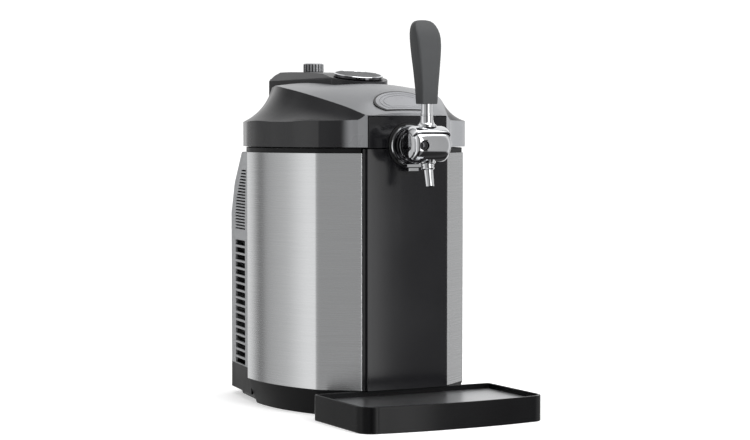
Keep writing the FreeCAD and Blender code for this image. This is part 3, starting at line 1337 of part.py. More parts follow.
def nodes():
    right_steel = steel_side()
    return {
        "base_plinth": base_plinth(),
        "rubber_feet": rubber_feet(),
        "steel_side_right": right_steel,
        "steel_side_left": mirrored(right_steel),
        "front_panel": front_panel(),
        "tap_fascia": tap_fascia(),
        "top_collar": top_collar(),
        "well_liner": well_liner(),
        "foam_insulation": foam_insulation(),
        "rear_cover": rear_cover(),
        "cover_screws": cover_screws(),
        "cold_block": cold_block(),
        "peltier_module": peltier_module(),
        "heat_sink": heat_sink(),
        "fan_frame": fan_frame(),
        "fan_rotor": fan_rotor(),
        "control_board": control_board(),
        "power_inlet": power_inlet(),
        "switch_housing": switch_housing(),
        "switch_rocker": switch_rocker(),
        "hinge_brackets": hinge_brackets(),
        "hinge_pins": hinge_pins(),
        "lid_shell": lid_shell(),
        "lid_liner": lid_liner(),
        "lid_seal": lid_seal(),
        "lid_spine": lid_spine(),
        "lock_disc": lock_disc(),
        "lock_spindle": lock_spindle(),
        "latch_bolt": latch_bolt(),
        "latch_guide": latch_guide(),
        "display_lens": display_lens(),
        "display_board": display_board(),
        "regulator_knob": regulator_knob(),
        "regulator_body": regulator_body(),
        "co2_cartridge": co2_cartridge(),
        "keg_coupler": keg_coupler(),
        "gas_tube": gas_tube(),
        "tap_gasket": tap_gasket(),
        "tap_flange": tap_flange(),
        "tap_shank": tap_shank(),
        "shank_nut": shank_nut(),
        "tap_body": tap_body(),
        "tap_screw": tap_screw(),
        "valve_spindle": valve_spindle(),
        "lever_neck": lever_neck(),
        "tap_handle": tap_handle(),
        "spout": spout(),
        "release_tab": release_tab(),
        "drip_tray": drip_tray(),
        "drip_plate": drip_plate(),
    }


def main():
    os.makedirs("parts", exist_ok=True)
    for name, made in nodes().items():
        shape = Part.makeCompound(made) if isinstance(made, list) else made
        shape.exportStep("parts/" + name + ".step")
        print(name, "solids", len(shape.Solids), "valid", shape.isValid(),
              "volume", round(shape.Volume / 1000, 1))


main()
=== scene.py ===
"""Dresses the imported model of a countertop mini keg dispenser: finishes, fine pieces, studio, camera."""
import json
import math

import bpy
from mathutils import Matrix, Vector

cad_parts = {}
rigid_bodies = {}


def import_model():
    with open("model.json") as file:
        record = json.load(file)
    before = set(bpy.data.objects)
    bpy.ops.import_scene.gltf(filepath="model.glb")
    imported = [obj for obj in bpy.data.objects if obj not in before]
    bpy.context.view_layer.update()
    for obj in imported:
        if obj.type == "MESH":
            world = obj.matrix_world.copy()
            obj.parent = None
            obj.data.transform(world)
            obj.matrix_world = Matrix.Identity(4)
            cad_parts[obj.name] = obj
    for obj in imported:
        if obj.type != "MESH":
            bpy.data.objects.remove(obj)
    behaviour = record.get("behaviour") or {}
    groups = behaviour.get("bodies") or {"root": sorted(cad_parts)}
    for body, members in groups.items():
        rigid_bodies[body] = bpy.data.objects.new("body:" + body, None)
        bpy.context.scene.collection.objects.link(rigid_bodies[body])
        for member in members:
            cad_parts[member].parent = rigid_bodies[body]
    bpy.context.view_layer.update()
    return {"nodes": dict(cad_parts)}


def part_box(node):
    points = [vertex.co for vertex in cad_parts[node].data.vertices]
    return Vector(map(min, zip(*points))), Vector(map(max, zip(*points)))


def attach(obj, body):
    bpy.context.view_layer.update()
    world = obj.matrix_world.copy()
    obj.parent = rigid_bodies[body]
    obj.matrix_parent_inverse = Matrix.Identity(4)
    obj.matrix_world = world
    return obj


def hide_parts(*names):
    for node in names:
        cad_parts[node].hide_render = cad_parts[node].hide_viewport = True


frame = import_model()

MM = 0.001


# ---------------------------------------------------------------- camera and studio

CAMERA_PLACE = (-1.12042, -2.20446, 0.33835)
CAMERA_TILT = math.radians(90 - 2.634)
CAMERA_HEADING = math.radians(-27.4)
CAMERA_LENS = 96.8
SENSOR = 36.0


def place_camera():
    data = bpy.data.cameras.new("camera")
    data.lens = CAMERA_LENS
    data.sensor_width = SENSOR
    camera = bpy.data.objects.new("camera", data)
    camera.location = CAMERA_PLACE
    camera.rotation_euler = (CAMERA_TILT, 0, CAMERA_HEADING)
    bpy.context.scene.collection.objects.link(camera)
    bpy.context.scene.camera = camera


STUDIO_MIDDLE = (0, 0, 0.22)
# name, place, width and height in metres, power in watts, mirrored in gloss or not
SOFTBOXES = [
    ("top_softbox", (0.4, -0.5, 2.6), 2.4, 2.0, 34, True),
    ("front_softbox", (1.9, -2.4, 1.2), 1.2, 1.2, 110, False),
]


def hang_softbox(name, place, width, height, power, in_gloss):
    """Flat lamp that faces the middle of the studio."""
    data = bpy.data.lights.new(name, "AREA")
    data.shape = "RECTANGLE"
    data.size = width
    data.size_y = height
    data.energy = power
    lamp = bpy.data.objects.new(name, data)
    lamp.location = place
    lamp.rotation_euler = (Vector(STUDIO_MIDDLE) - Vector(place)).to_track_quat("-Z", "Y").to_euler()
    lamp.visible_glossy = in_gloss
    bpy.context.scene.collection.objects.link(lamp)


# Studio walls as the object's gloss sees them: heading in degrees from straight behind the object
# (left is positive) and brightness there. Bright and dark cards alternate round a white room.
WALLS = [
    (-180, 1.00), (-168, 3.60), (-159, 3.60), (-157, 2.20), (-155.4, 0.80), (-154, 0.50), (-130, 0.50),
    (-112, 1.00), (-98, 1.00), (-88, 0.34), (-78, 0.38), (-72, 0.75), (-66, 1.10), (-50, 1.10), (4, 1.10),
    (16, 1.00), (22, 0.85), (26, 0.20), (32, 0.20), (37, 0.55), (46, 0.64), (58, 0.76), (66, 1.02),
    (74, 1.26), (82, 1.24), (88, 0.84), (94, 0.62), (110, 0.50), (141, 0.46), (146, 0.08), (160, 0.08),
    (180, 1.00),
]
BRIGHTEST = 3.6
# sine of the elevation, share of the wall's light there
HEIGHTS = [(-1, 0.05), (-0.6, 0.07), (-0.5, 1.0), (1, 1.0)]
BACKDROP_LIGHT = 1.1


def grey_ramp(nodes, stops):
    """Ramp of greys through (share of the way, level)."""
    ramp = nodes.new("ShaderNodeValToRGB")
    elements = ramp.color_ramp.elements
    for i, (share, level) in enumerate(stops):
        element = elements[i] if i < 2 else elements.new(share)
        element.position = share
        element.color = (level,) * 3 + (1,)
    return ramp


def share_of_range(nodes, low, high):
    """Node that maps low to 0 and high to 1."""
    node = nodes.new("ShaderNodeMapRange")
    node.inputs["From Min"].default_value = low
    node.inputs["From Max"].default_value = high
    return node


def times(nodes, factor):
    node = nodes.new("ShaderNodeMath")
    node.operation = "MULTIPLY"
    node.inputs[1].default_value = factor
    return node


def paint_walls(nodes, links):
    """Room light that changes with the heading and is dim below the floor line; gives its background."""
    place = nodes.new("ShaderNodeTexCoord")
    parts = nodes.new("ShaderNodeSeparateXYZ")
    links.new(place.outputs["Object"], parts.inputs["Vector"])
    left = times(nodes, -1)
    heading = nodes.new("ShaderNodeMath")
    heading.operation = "ARCTAN2"
    turn = share_of_range(nodes, -math.pi, math.pi)
    walls = grey_ramp(nodes, [((angle + 180) / 360, level / BRIGHTEST) for angle, level in WALLS])
    links.new(parts.outputs["X"], left.inputs[0])
    links.new(left.outputs["Value"], heading.inputs[0])
    links.new(parts.outputs["Y"], heading.inputs[1])
    links.new(heading.outputs["Value"], turn.inputs["Value"])
    links.new(turn.outputs["Result"], walls.inputs["Fac"])
    height = share_of_range(nodes, -1, 1)
    rise = grey_ramp(nodes, [((up + 1) / 2, level) for up, level in HEIGHTS])
    strength = times(nodes, BRIGHTEST)
    links.new(parts.outputs["Z"], height.inputs["Value"])
    links.new(height.outputs["Result"], rise.inputs["Fac"])
    links.new(rise.outputs["Color"], strength.inputs[0])
    room = nodes["Background"]
    links.new(walls.outputs["Color"], room.inputs["Color"])
    links.new(strength.outputs["Value"], room.inputs["Strength"])
    return room


def light_studio():
    """Two softboxes in a room whose walls give light and gloss; the room itself is seen as plain white."""
    for softbox in SOFTBOXES:
        hang_softbox(*softbox)
    world = bpy.data.worlds.new("studio")
    world.use_nodes = True
    bpy.context.scene.world = world
    nodes, links = world.node_tree.nodes, world.node_tree.links
    room = paint_walls(nodes, links)
    backdrop = nodes.new("ShaderNodeBackground")
    backdrop.inputs["Color"].default_value = (1, 1, 1, 1)
    backdrop.inputs["Strength"].default_value = BACKDROP_LIGHT
    seen = nodes.new("ShaderNodeLightPath")
    either = nodes.new("ShaderNodeMixShader")
    links.new(seen.outputs["Is Camera Ray"], either.inputs["Fac"])
    links.new(room.outputs["Background"], either.inputs[1])
    links.new(backdrop.outputs["Background"], either.inputs[2])
    links.new(either.outputs["Shader"], nodes["World Output"].inputs["Surface"])
    bpy.context.scene.view_settings.view_transform = "Standard"


FLOOR_SIZE = 160       # metres
FLOOR_SQUARES = 8
FLOOR_GLOW = 0.45


def lay_floor():
    """Pale matt floor that glows a little, so that it meets the white backdrop."""
    clear_selection()
    bpy.ops.mesh.primitive_grid_add(x_subdivisions=FLOOR_SQUARES, y_subdivisions=FLOOR_SQUARES,
                                    size=FLOOR_SIZE, location=(0, 0, 0))
    floor = bpy.context.object
    floor.name = "floor"
    floor_paint = plastic("floor_paint", (228, 228, 228), (232, 232, 232), 0.7, depth=0)
    shader = floor_paint.node_tree.nodes["Principled BSDF"]
    shader.inputs["Emission Color"].default_value = (1, 1, 1, 1)
    shader.inputs["Emission Strength"].default_value = FLOOR_GLOW
    floor.data.materials.append(floor_paint)
    floor.visible_glossy = False


# ---------------------------------------------------------------- finishes

finishes = {}                      # every finish by its name
NOISE_LOW, NOISE_HIGH = 0.3, 0.7   # where a noise is taken for its lowest and highest
CLOUD_SCALE = 14                   # slow change of shade over moulded plastic
SHINIER, DULLER = 0.9, 1.12        # range of a plastic's roughness


def linear(level):
    """Light of a screen level from 0 to 255."""
    level = level / 255
    return level / 12.92 if level <= 0.04045 else ((level + 0.055) / 1.055) ** 2.4


def paint(rgb):
    return tuple(linear(c) for c in rgb) + (1.0,)


def blank_finish(name, roughness, metallic=0.0, **sockets):
    """New finish; further sockets of its shader are named with underscores for spaces."""
    finish = bpy.data.materials.new(name)
    finish.use_nodes = True
    shader = finish.node_tree.nodes["Principled BSDF"]
    shader.inputs["Roughness"].default_value = roughness
    shader.inputs["Metallic"].default_value = metallic
    for socket, value in sockets.items():
        shader.inputs[socket.replace("_", " ")].default_value = value
    finishes[name] = finish
    return finish


def noise_on(finish, scale, stretch=(1, 1, 1), detail=3.0):
    """Noise that lies still on the piece; scale counts its waves to the metre."""
    nodes, links = finish.node_tree.nodes, finish.node_tree.links
    place = nodes.new("ShaderNodeTexCoord")
    mapping = nodes.new("ShaderNodeMapping")
    mapping.inputs["Scale"].default_value = stretch
    noise = nodes.new("ShaderNodeTexNoise")
    noise.inputs["Scale"].default_value = scale
    noise.inputs["Detail"].default_value = detail
    links.new(place.outputs["Object"], mapping.inputs["Vector"])
    links.new(mapping.outputs["Vector"], noise.inputs["Vector"])
    return noise


def colour_by(finish, noise, dark, light):
    nodes, links = finish.node_tree.nodes, finish.node_tree.links
    ramp = nodes.new("ShaderNodeValToRGB")
    low, high = ramp.color_ramp.elements
    low.position = NOISE_LOW
    low.color = paint(dark)
    high.position = NOISE_HIGH
    high.color = paint(light)
    links.new(noise.outputs["Fac"], ramp.inputs["Fac"])
    links.new(ramp.outputs["Color"], nodes["Principled BSDF"].inputs["Base Color"])


def roughness_by(finish, noise, smooth, rough):
    nodes, links = finish.node_tree.nodes, finish.node_tree.links
    spread = share_of_range(nodes, NOISE_LOW, NOISE_HIGH)
    spread.inputs["To Min"].default_value = smooth
    spread.inputs["To Max"].default_value = rough
    links.new(noise.outputs["Fac"], spread.inputs["Value"])
    links.new(spread.outputs["Result"], nodes["Principled BSDF"].inputs["Roughness"])


def relief_by(finish, noise, depth):
    nodes, links = finish.node_tree.nodes, finish.node_tree.links
    bump = nodes.new("ShaderNodeBump")
    bump.inputs["Distance"].default_value = depth
    links.new(noise.outputs["Fac"], bump.inputs["Height"])
    links.new(bump.outputs["Normal"], nodes["Principled BSDF"].inputs["Normal"])


def plastic(name, dark, light, roughness, grain=2500, depth=0.03 * MM, **sockets):
    """Moulded plastic: a slow change of shade, a fine spark-eroded grain and patches a little shinier."""
    finish = blank_finish(name, roughness, **sockets)
    slow = noise_on(finish, CLOUD_SCALE)
    colour_by(finish, slow, dark, light)
    roughness_by(finish, slow, roughness * SHINIER, min(roughness * DULLER, 1))
    if depth:
        relief_by(finish, noise_on(finish, grain, detail=2), depth)
    return finish


def metal(name, dark, light, roughness, stretch=(1, 1, 1), scale=60, depth=0.004 * MM, spread=0.15,
          **sockets):
    """Worked metal: tool or brush lines along the short side of the stretch, in shade, gloss and relief."""
    finish = blank_finish(name, roughness, metallic=1.0, **sockets)
    lines = noise_on(finish, scale, stretch, detail=5)
    colour_by(finish, lines, dark, light)
    roughness_by(finish, lines, roughness * (1 - spread), roughness * (1 + spread))
    relief_by(finish, lines, depth)
    return finish


def lacquer(name, dark, light, roughness, flake, **sockets):
    """Silver lacquer: plastic whose look is metal for the share that flake gives."""
    finish = plastic(name, dark, light, roughness, grain=1800, depth=0.02 * MM, **sockets)
    finish.node_tree.nodes["Principled BSDF"].inputs["Metallic"].default_value = flake
    return finish


def brushed(name, dark, light, roughness):
    """Sheet steel brushed round the body: fine lines along the sheet, reflections drawn out across them."""
    finish = metal(name, dark, light, roughness, stretch=(5, 5, 1600), scale=3, depth=0.0006 * MM,
                   spread=0.08, Anisotropic=0.75, Anisotropic_Rotation=0.25)
    nodes, links = finish.node_tree.nodes, finish.node_tree.links
    tangent = nodes.new("ShaderNodeTangent")
    tangent.direction_type = "RADIAL"
    tangent.axis = "Z"
    links.new(tangent.outputs["Tangent"], nodes["Principled BSDF"].inputs["Tangent"])
    return finish


REFLECTION_LEAN = 0.2        # how much the painted reflection turns from the front to the right


def painted_reflection_fade(finish, light, start, end):
    """Painted reflection of a bright card in the gloss: a lighter shade towards the front, and a little to
    the right; none at depth start, all at end (mm).
    """
    nodes, links = finish.node_tree.nodes, finish.node_tree.links
    shader = nodes["Principled BSDF"]
    dark = shader.inputs["Base Color"].links[0].from_socket
    place = nodes.new("ShaderNodeTexCoord")
    depth = nodes.new("ShaderNodeVectorMath")
    depth.operation = "DOT_PRODUCT"
    depth.inputs[1].default_value = (-REFLECTION_LEAN, 1, 0)
    share = share_of_range(nodes, start * MM, end * MM)
    share.interpolation_type = "SMOOTHSTEP"
    mix = nodes.new("ShaderNodeMix")
    mix.data_type = "RGBA"
    mix.inputs["B"].default_value = paint(light)
    links.new(place.outputs["Object"], depth.inputs[0])
    links.new(depth.outputs["Value"], share.inputs["Value"])
    links.new(share.outputs["Result"], mix.inputs["Factor"])
    links.new(dark, mix.inputs["A"])
    links.new(mix.outputs["Result"], shader.inputs["Base Color"])


def make_finishes():
    """Each finish: name, its darker and lighter shade on screen, roughness, then what is its own."""
    # lid
    plastic("lid_charcoal", (23, 23, 25), (29, 29, 31), 0.34, Specular_IOR_Level=0.19)
    plastic("hood_charcoal", (29, 29, 31), (35, 35, 37), 0.34, Specular_IOR_Level=0.28)
    band = plastic("lid_band", (19, 19, 21), (24, 24, 26), 0.3, Specular_IOR_Level=0.46)
    # the band's lighter front and right end are a painted reflection of the bright front card
    painted_reflection_fade(band, (108, 109, 111), start=-88.7, end=-98.8)
    lacquer("lid_satin", (113, 114, 116), (121, 122, 124), 0.38, flake=0.35)
    lacquer("satin_disc", (50, 51, 53), (60, 61, 63), 0.42, flake=0.15, Specular_IOR_Level=0.1)
    plastic("knob_grey", (128, 129, 131), (140, 141, 143), 0.34)
    # the knob's flute floors, painted darker as shade
    plastic("knob_dark", (60, 61, 62), (70, 71, 72), 0.5)
    plastic("lens_line", (84, 86, 88), (94, 96, 98), 0.3, grain=90, depth=0.005 * MM)
    plastic("lens_grey", (108, 109, 112), (120, 121, 124), 0.24, grain=90, depth=0.005 * MM)
    # black standing in for shade: the groove round the lens and the tap's screw recess
    plastic("groove_black", (16, 16, 17), (22, 22, 23), 0.5)
    # body
    plastic("panel_gloss", (13, 13, 15), (17, 17, 19), 0.16, grain=160, depth=0.003 * MM,
            Specular_IOR_Level=0.32)
    plastic("base_black", (15, 15, 16), (20, 20, 21), 0.5, Specular_IOR_Level=0.16)
    plastic("cover_grey", (126, 128, 130), (138, 139, 141), 0.5)
    plastic("liner_grey", (176, 178, 180), (190, 191, 193), 0.42)
    plastic("foam_dark", (30, 30, 31), (44, 44, 45), 0.9, grain=700, depth=0.4 * MM)
    plastic("rubber_black", (18, 18, 18), (28, 28, 28), 0.72, grain=1400, depth=0.06 * MM)
    brushed("brushed_steel", (190, 191, 192), (204, 205, 206), 0.26)
    # tap and tray
    metal("chrome", (205, 206, 208), (216, 217, 219), 0.07, scale=30, depth=0.001 * MM)
    # chrome painted dark: shade and dark reflections on the recessed screw, the flange's dish and collar,
    # and the lock's edge
    metal("chrome_dark", (66, 66, 68), (78, 78, 80), 0.12, scale=30, depth=0.001 * MM)
    plastic("handle_grey", (50, 51, 52), (57, 58, 59), 0.5, Specular_IOR_Level=0.25)
    plastic("tray_gloss", (7, 7, 8), (10, 10, 11), 0.22, grain=120, depth=0.003 * MM,
            Specular_IOR_Level=0.14)
    metal("plate_satin", (160, 161, 163), (176, 177, 179), 0.32, stretch=(1, 12, 1), scale=160,
          depth=0.002 * MM)
    # inner works
    metal("fastener_steel", (150, 150, 152), (180, 180, 182), 0.3, scale=400)
    metal("cast_aluminium", (165, 166, 168), (190, 191, 193), 0.42, scale=500, depth=0.03 * MM)
    metal("regulator_brass", (176, 146, 84), (202, 172, 104), 0.28, scale=200)
    metal("cartridge_steel", (140, 142, 146), (170, 172, 176), 0.26, stretch=(1, 1, 9), scale=40)
    plastic("ceramic_white", (214, 214, 210), (228, 228, 224), 0.6)
    plastic("board_green", (18, 66, 40), (26, 84, 52), 0.35, grain=900, depth=0.02 * MM)
    plastic("hose_grey", (92, 94, 96), (106, 108, 110), 0.4, grain=400)
    plastic("fan_black", (24, 24, 25), (32, 32, 33), 0.42)


# Nodes that are shown as they come; the others get their finish with the piece that stands in.
NODE_FINISH = {
    "base_black": ["latch_guide"],
    "liner_grey": ["well_liner", "lid_liner"],
    "foam_dark": ["foam_insulation"],
    "chrome": ["tap_shank"],
    # the screw sits in the tap's recess and is painted dark as shade
    "chrome_dark": ["tap_screw"],
    "fastener_steel": ["cover_screws", "hinge_brackets", "hinge_pins", "lock_spindle", "latch_bolt",
                       "shank_nut", "valve_spindle"],
    "cast_aluminium": ["cold_block", "heat_sink"],
    "regulator_brass": ["regulator_body"],
    "cartridge_steel": ["co2_cartridge"],
    "ceramic_white": ["peltier_module"],
    "board_green": ["control_board", "display_board"],
    "rubber_black": ["rubber_feet", "lid_seal", "tap_gasket"],
    "hose_grey": ["gas_tube", "keg_coupler"],
    "fan_black": ["fan_frame", "fan_rotor"],
}


def finish_nodes():
    for finish, names in NODE_FINISH.items():
        for name in names:
            coat(frame["nodes"][name], finish)


# ---------------------------------------------------------------- shaping helpers

JOIN_WITHIN = 0.002        # corners of a node's triangles closer than this are one (mm)
FLAT_WITHIN = 0.05         # triangles that differ less than this are one face (degrees)


def clear_selection():
    if bpy.context.object and bpy.context.object.mode != "OBJECT":
        bpy.ops.object.mode_set(mode="OBJECT")
    bpy.ops.object.select_all(action="DESELECT")


def take_up(piece):
    """Make a piece the only one selected."""
    clear_selection()
    piece.select_set(True)
    bpy.context.view_layer.objects.active = piece


def edit_all(piece):
    """Take a piece into edit mode with all of it selected."""
    take_up(piece)
    bpy.ops.object.mode_set(mode="EDIT")
    bpy.ops.mesh.select_all(action="SELECT")


def soften(piece, degrees=32):
    """Shade smoothly across edges flatter than this."""
    take_up(piece)
    bpy.ops.object.shade_smooth_by_angle(angle=math.radians(degrees))


def coat(piece, *coats):
    """Give a piece these finishes and no others."""
    piece.data.materials.clear()
    for name in coats:
        piece.data.materials.append(finishes[name])


def stand_in(piece, name, *nodes):
    """Name a finished piece, let it move with and stand for its nodes, and hide them."""
    piece.name = name
    piece.data.name = name
    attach(piece, frame["nodes"][nodes[0]].parent.name.split(":")[1])
    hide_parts(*nodes)


def copy_node(node, name):
    """A finished skin that starts as the node's own shape, with its loose triangles joined."""
    source = frame["nodes"][node]
    piece = bpy.data.objects.new(name, source.data.copy())
    bpy.context.scene.collection.objects.link(piece)
    take_up(piece)
    bpy.ops.mesh.customdata_custom_splitnormals_clear()
    edit_all(piece)
    bpy.ops.mesh.remove_doubles(threshold=JOIN_WITHIN * MM)
    bpy.ops.mesh.dissolve_limited(angle_limit=math.radians(FLAT_WITHIN))
    bpy.ops.object.mode_set(mode="OBJECT")
    stand_in(piece, name, node)
    return piece


def work(piece, kind, **settings):
    """Put one modifier on a piece and apply it."""
    take_up(piece)
    step = piece.modifiers.new("step", kind)
    for setting, value in settings.items():
        setattr(step, setting, value)
    bpy.ops.object.modifier_apply(modifier="step")


def round_edges(piece, width, degrees, segments=3):
    """Round the edges sharper than this to a width in mm."""
    work(piece, "BEVEL", width=width * MM, segments=segments, limit_method="ANGLE",
         angle_limit=math.radians(degrees), use_clamp_overlap=True)


def hold_flats(piece):
    """Keep the shading of broad faces true beside narrow rounded edges."""
    work(piece, "WEIGHTED_NORMAL", mode="FACE_AREA", weight=100, keep_sharp=True)


def join_shape(piece, other, operation):
    """Add another solid to a piece, cut it away, or keep what both share."""
    work(piece, "BOOLEAN", object=other, operation=operation, solver="EXACT")
    bpy.data.objects.remove(other)


def cut_level(piece, height):
    """Cut a level line of edges round a piece at a height in mm."""
    edit_all(piece)
    bpy.ops.mesh.bisect(plane_co=(0, 0, height * MM), plane_no=(0, 0, 1))
    bpy.ops.object.mode_set(mode="OBJECT")


def select_faces(piece, choose):
    """Stay in edit mode with the faces selected that choose(middle in mm, normal) takes."""
    bpy.ops.object.mode_set(mode="EDIT")
    bpy.ops.mesh.select_mode(type="FACE")
    bpy.ops.mesh.select_all(action="DESELECT")
    bpy.ops.object.mode_set(mode="OBJECT")
    for face in piece.data.polygons:
        face.select = choose(face.center / MM, face.normal)
    bpy.ops.object.mode_set(mode="EDIT")


def close_outwards():
    """Leave edit mode with all faces turned outwards."""
    bpy.ops.mesh.select_all(action="SELECT")
    bpy.ops.mesh.normals_make_consistent(inside=False)
    bpy.ops.object.mode_set(mode="OBJECT")


def turned(profile, sides=72):
    """Turned solid about Z: a disc extruded and resized through (radius, height) in mm."""
    clear_selection()
    radius, height = profile[0]
    bpy.ops.mesh.primitive_circle_add(vertices=sides, radius=radius * MM, fill_type="NGON",
                                      location=(0, 0, height * MM))
    bpy.ops.object.transform_apply(location=True)
    bpy.ops.object.mode_set(mode="EDIT")
    bpy.ops.mesh.select_all(action="SELECT")
    for next_radius, next_height in profile[1:]:
        bpy.ops.mesh.extrude_region_move(
            TRANSFORM_OT_translate={"value": (0, 0, (next_height - height) * MM)})
        share = next_radius / radius
        bpy.ops.transform.resize(value=(share, share, 1), center_override=(0, 0, next_height * MM))
        radius, height = next_radius, next_height
    close_outwards()
    return bpy.context.object


def lay(piece, turn=(0, 0, 0), place=(0, 0, 0)):
    """Turn a piece (degrees about X, Y, Z) and move it (mm), with both kept in its mesh."""
    take_up(piece)
    piece.rotation_euler = [math.radians(angle) for angle in turn]
    piece.location = [value * MM for value in place]
    bpy.ops.object.transform_apply(location=True, rotation=True, scale=True)
    return piece


def finish_faces(piece, coats, choose):
    """Give each face the coat that choose(middle in mm, normal) numbers."""
    coat(piece, *coats)
    for face in piece.data.polygons:
        face.material_index = choose(face.center / MM, face.normal)


def between(table, y):
    """Straight-line value at y in a table of (y, value)."""
    for (y0, v0), (y1, v1) in zip(table, table[1:]):
        if y <= y1:
            return v0 + (v1 - v0) * max(0, (y - y0) / (y1 - y0))
    return table[-1][1]


# ---------------------------------------------------------------- lid

BAND_TOP = 346.5       # upright faces below this are the band
BAND_UPRIGHT = 0.4     # a face is upright when its normal rises or falls less than this
# depth, distance of the crease from the middle
CREASES = [(-131, 51.5), (-102, 63.5), (-88.9, 69.4), (-56, 82.5), (-10, 90), (40, 90.5), (90, 72),
           (122, 60), (145, 50)]
CREASE_DOUBT = 3.5     # closer to the crease than this, the slope of a face tells deck from flank
FLANK_LEAN = 0.42      # there, a normal that points sideways more than this is the flank's


def dress_lid():
    """Dark band and hollow flanks; silver deck between the two creases."""
    lid = copy_node("lid_shell", "lid_cover")
    flank, band, deck = range(3)

    def choose(middle, normal):
        if middle.z < BAND_TOP and abs(normal.z) < BAND_UPRIGHT:
            return band
        past = abs(middle.x) - between(CREASES, middle.y)
        if abs(past) < CREASE_DOUBT:
            return flank if abs(normal.x) > FLANK_LEAN else deck
        return flank if past > 0 else deck

    finish_faces(lid, ("lid_charcoal", "lid_band", "lid_satin"), choose)
    soften(lid, degrees=16)


DISPLAY_FOOT = (-119.5, 359.8)    # depth and height of the foot of the display's solid
DISPLAY_SLOPE = 43.0
DISPLAY_HALF = 36.5
DISPLAY_REACH = 20.0              # from the widest line up to the top of the outline
DISPLAY_MIDDLE = 9.5              # of the widest line above the foot, along the slope
DISPLAY_CUT = -0.68               # straight edge, as a share of the reach below the widest line
DISPLAY_STRETCH = (1.3, 1.6, 1)
DISPLAY_SHIFT = 12.0              # middle of the stretch above the foot
SIDE_SHRINK = 1.3                 # how much faster a shrunk outline draws in at the sides
PRISM_HEIGHT = 24.0
# outer and inner outline in mm in from the edge, rise above the solid's face, finish; the black ring round
# the lens is painted shade in its groove
LENS_PARTS = [
    (1.2, 4.6, 1.0, "lens_grey"), (-0.6, 1.2, 0.7, "groove_black"), (4.6, 5.2, 0.75, "lens_line"),
    (5.2, 8.4, 1.0, "lens_grey"), (8.4, 9.0, 0.75, "lens_line"), (9.0, None, 1.0, "lens_grey"),
]


def half_moon(shrink):
    """Upright prism of the display's outline, shrunk by so many mm, standing on the lid's slope."""
    clear_selection()
    bpy.ops.mesh.primitive_cylinder_add(vertices=96, radius=1, depth=1)
    prism = bpy.context.object
    bpy.ops.object.mode_set(mode="EDIT")
    bpy.ops.mesh.select_all(action="SELECT")
    bpy.ops.mesh.bisect(plane_co=(0, DISPLAY_CUT, 0), plane_no=(0, 1, 0), clear_inner=True, use_fill=True)
    bpy.ops.mesh.select_all(action="SELECT")
    half = DISPLAY_HALF - SIDE_SHRINK * shrink
    reach = DISPLAY_REACH - shrink
    bpy.ops.transform.resize(value=(half * MM, reach * MM, PRISM_HEIGHT * MM), center_override=(0, 0, 0))
    bpy.ops.transform.translate(value=(0, DISPLAY_MIDDLE * MM, 0))
    bpy.ops.object.mode_set(mode="OBJECT")
    return lay(prism, (DISPLAY_SLOPE, 0, 0), (0, *DISPLAY_FOOT))


def lens_part(outer, inner, rise, finish):
    """The part of the lens between two outlines; the solid's face is laid flat, stretched and put back."""
    part = copy_node("display_lens", "lens_part")
    lay(part, place=(0, -DISPLAY_FOOT[0], -DISPLAY_FOOT[1]))
    lay(part, (-DISPLAY_SLOPE, 0, 0), (0, -DISPLAY_SHIFT, 0))
    part.scale = DISPLAY_STRETCH
    lay(part, place=(0, DISPLAY_SHIFT, 0))
    lay(part, (DISPLAY_SLOPE, 0, 0), (0, *DISPLAY_FOOT))
    join_shape(part, half_moon(outer), "INTERSECT")
    if inner is not None:
        join_shape(part, half_moon(inner), "DIFFERENCE")
    slope = math.radians(DISPLAY_SLOPE)
    lay(part, place=(0, -math.sin(slope) * rise, math.cos(slope) * rise))
    coat(part, finish)
    return part


def dress_display():
    """Half-moon lens in a groove painted black as shade, with fine ridges that follow its outline."""
    lens, *others = [lens_part(*row) for row in LENS_PARTS]
    take_up(lens)
    for part in others:
        part.select_set(True)
    bpy.ops.object.join()
    soften(lens, degrees=25)
    stand_in(lens, "display_window", "display_lens")


HOOD_SIDES = [(5, 36.0), (151, 55.0)]
HOOD_FRONT = 5.5       # the side walls start behind this
HOOD_WALL = 3.7        # thickness of the walls and a little more
HOOD_LINE = 397.0      # height from which the hood's side walls lean in
HOOD_LEAN = 1.1        # inwards for each mm of height above that


def dress_spine():
    """Hood whose side walls lean in above a line, outside and inside alike."""
    spine = copy_node("lid_spine", "rear_hood")
    cut_level(spine, HOOD_LINE)
    for vertex in spine.data.vertices:
        x, y, z = vertex.co / MM
        on_wall = y > HOOD_FRONT and between(HOOD_SIDES, y) - abs(x) < HOOD_WALL
        if on_wall and z > HOOD_LINE:
            vertex.co.x -= math.copysign((z - HOOD_LINE) * HOOD_LEAN * MM, x)
    round_edges(spine, width=1.4, degrees=50)
    coat(spine, "hood_charcoal")
    soften(spine)
    hold_flats(spine)


LOCK_PLACE = (0, 2.3, 398.7)
LOCK_TILT = 9.5
LOCK_ROWS = [(26.0, 0.4), (29.3, 0.4), (30.5, 1.6), (30.5, 3.4), (30.1, 4.3), (29.3, 4.9), (28.4, 5.0),
             (28.0, 4.6), (20.0, 4.6), (19.7, 4.4), (19.3, 4.4), (19.0, 4.6), (6.0, 4.6)]
LOCK_FACE = 28.0       # radius of the satin face
LOCK_FACE_LOW = 4.0    # its faces lie above this
LOCK_RIM_LOW = 4.2     # the polished rim lies above this; below it the edge's chrome is painted dark as shade and dark reflection
DIMPLE_ROWS = [(1.7, 3.9), (2.0, 6.0)]
DIMPLE_PLACE = (-24, 0, 0)


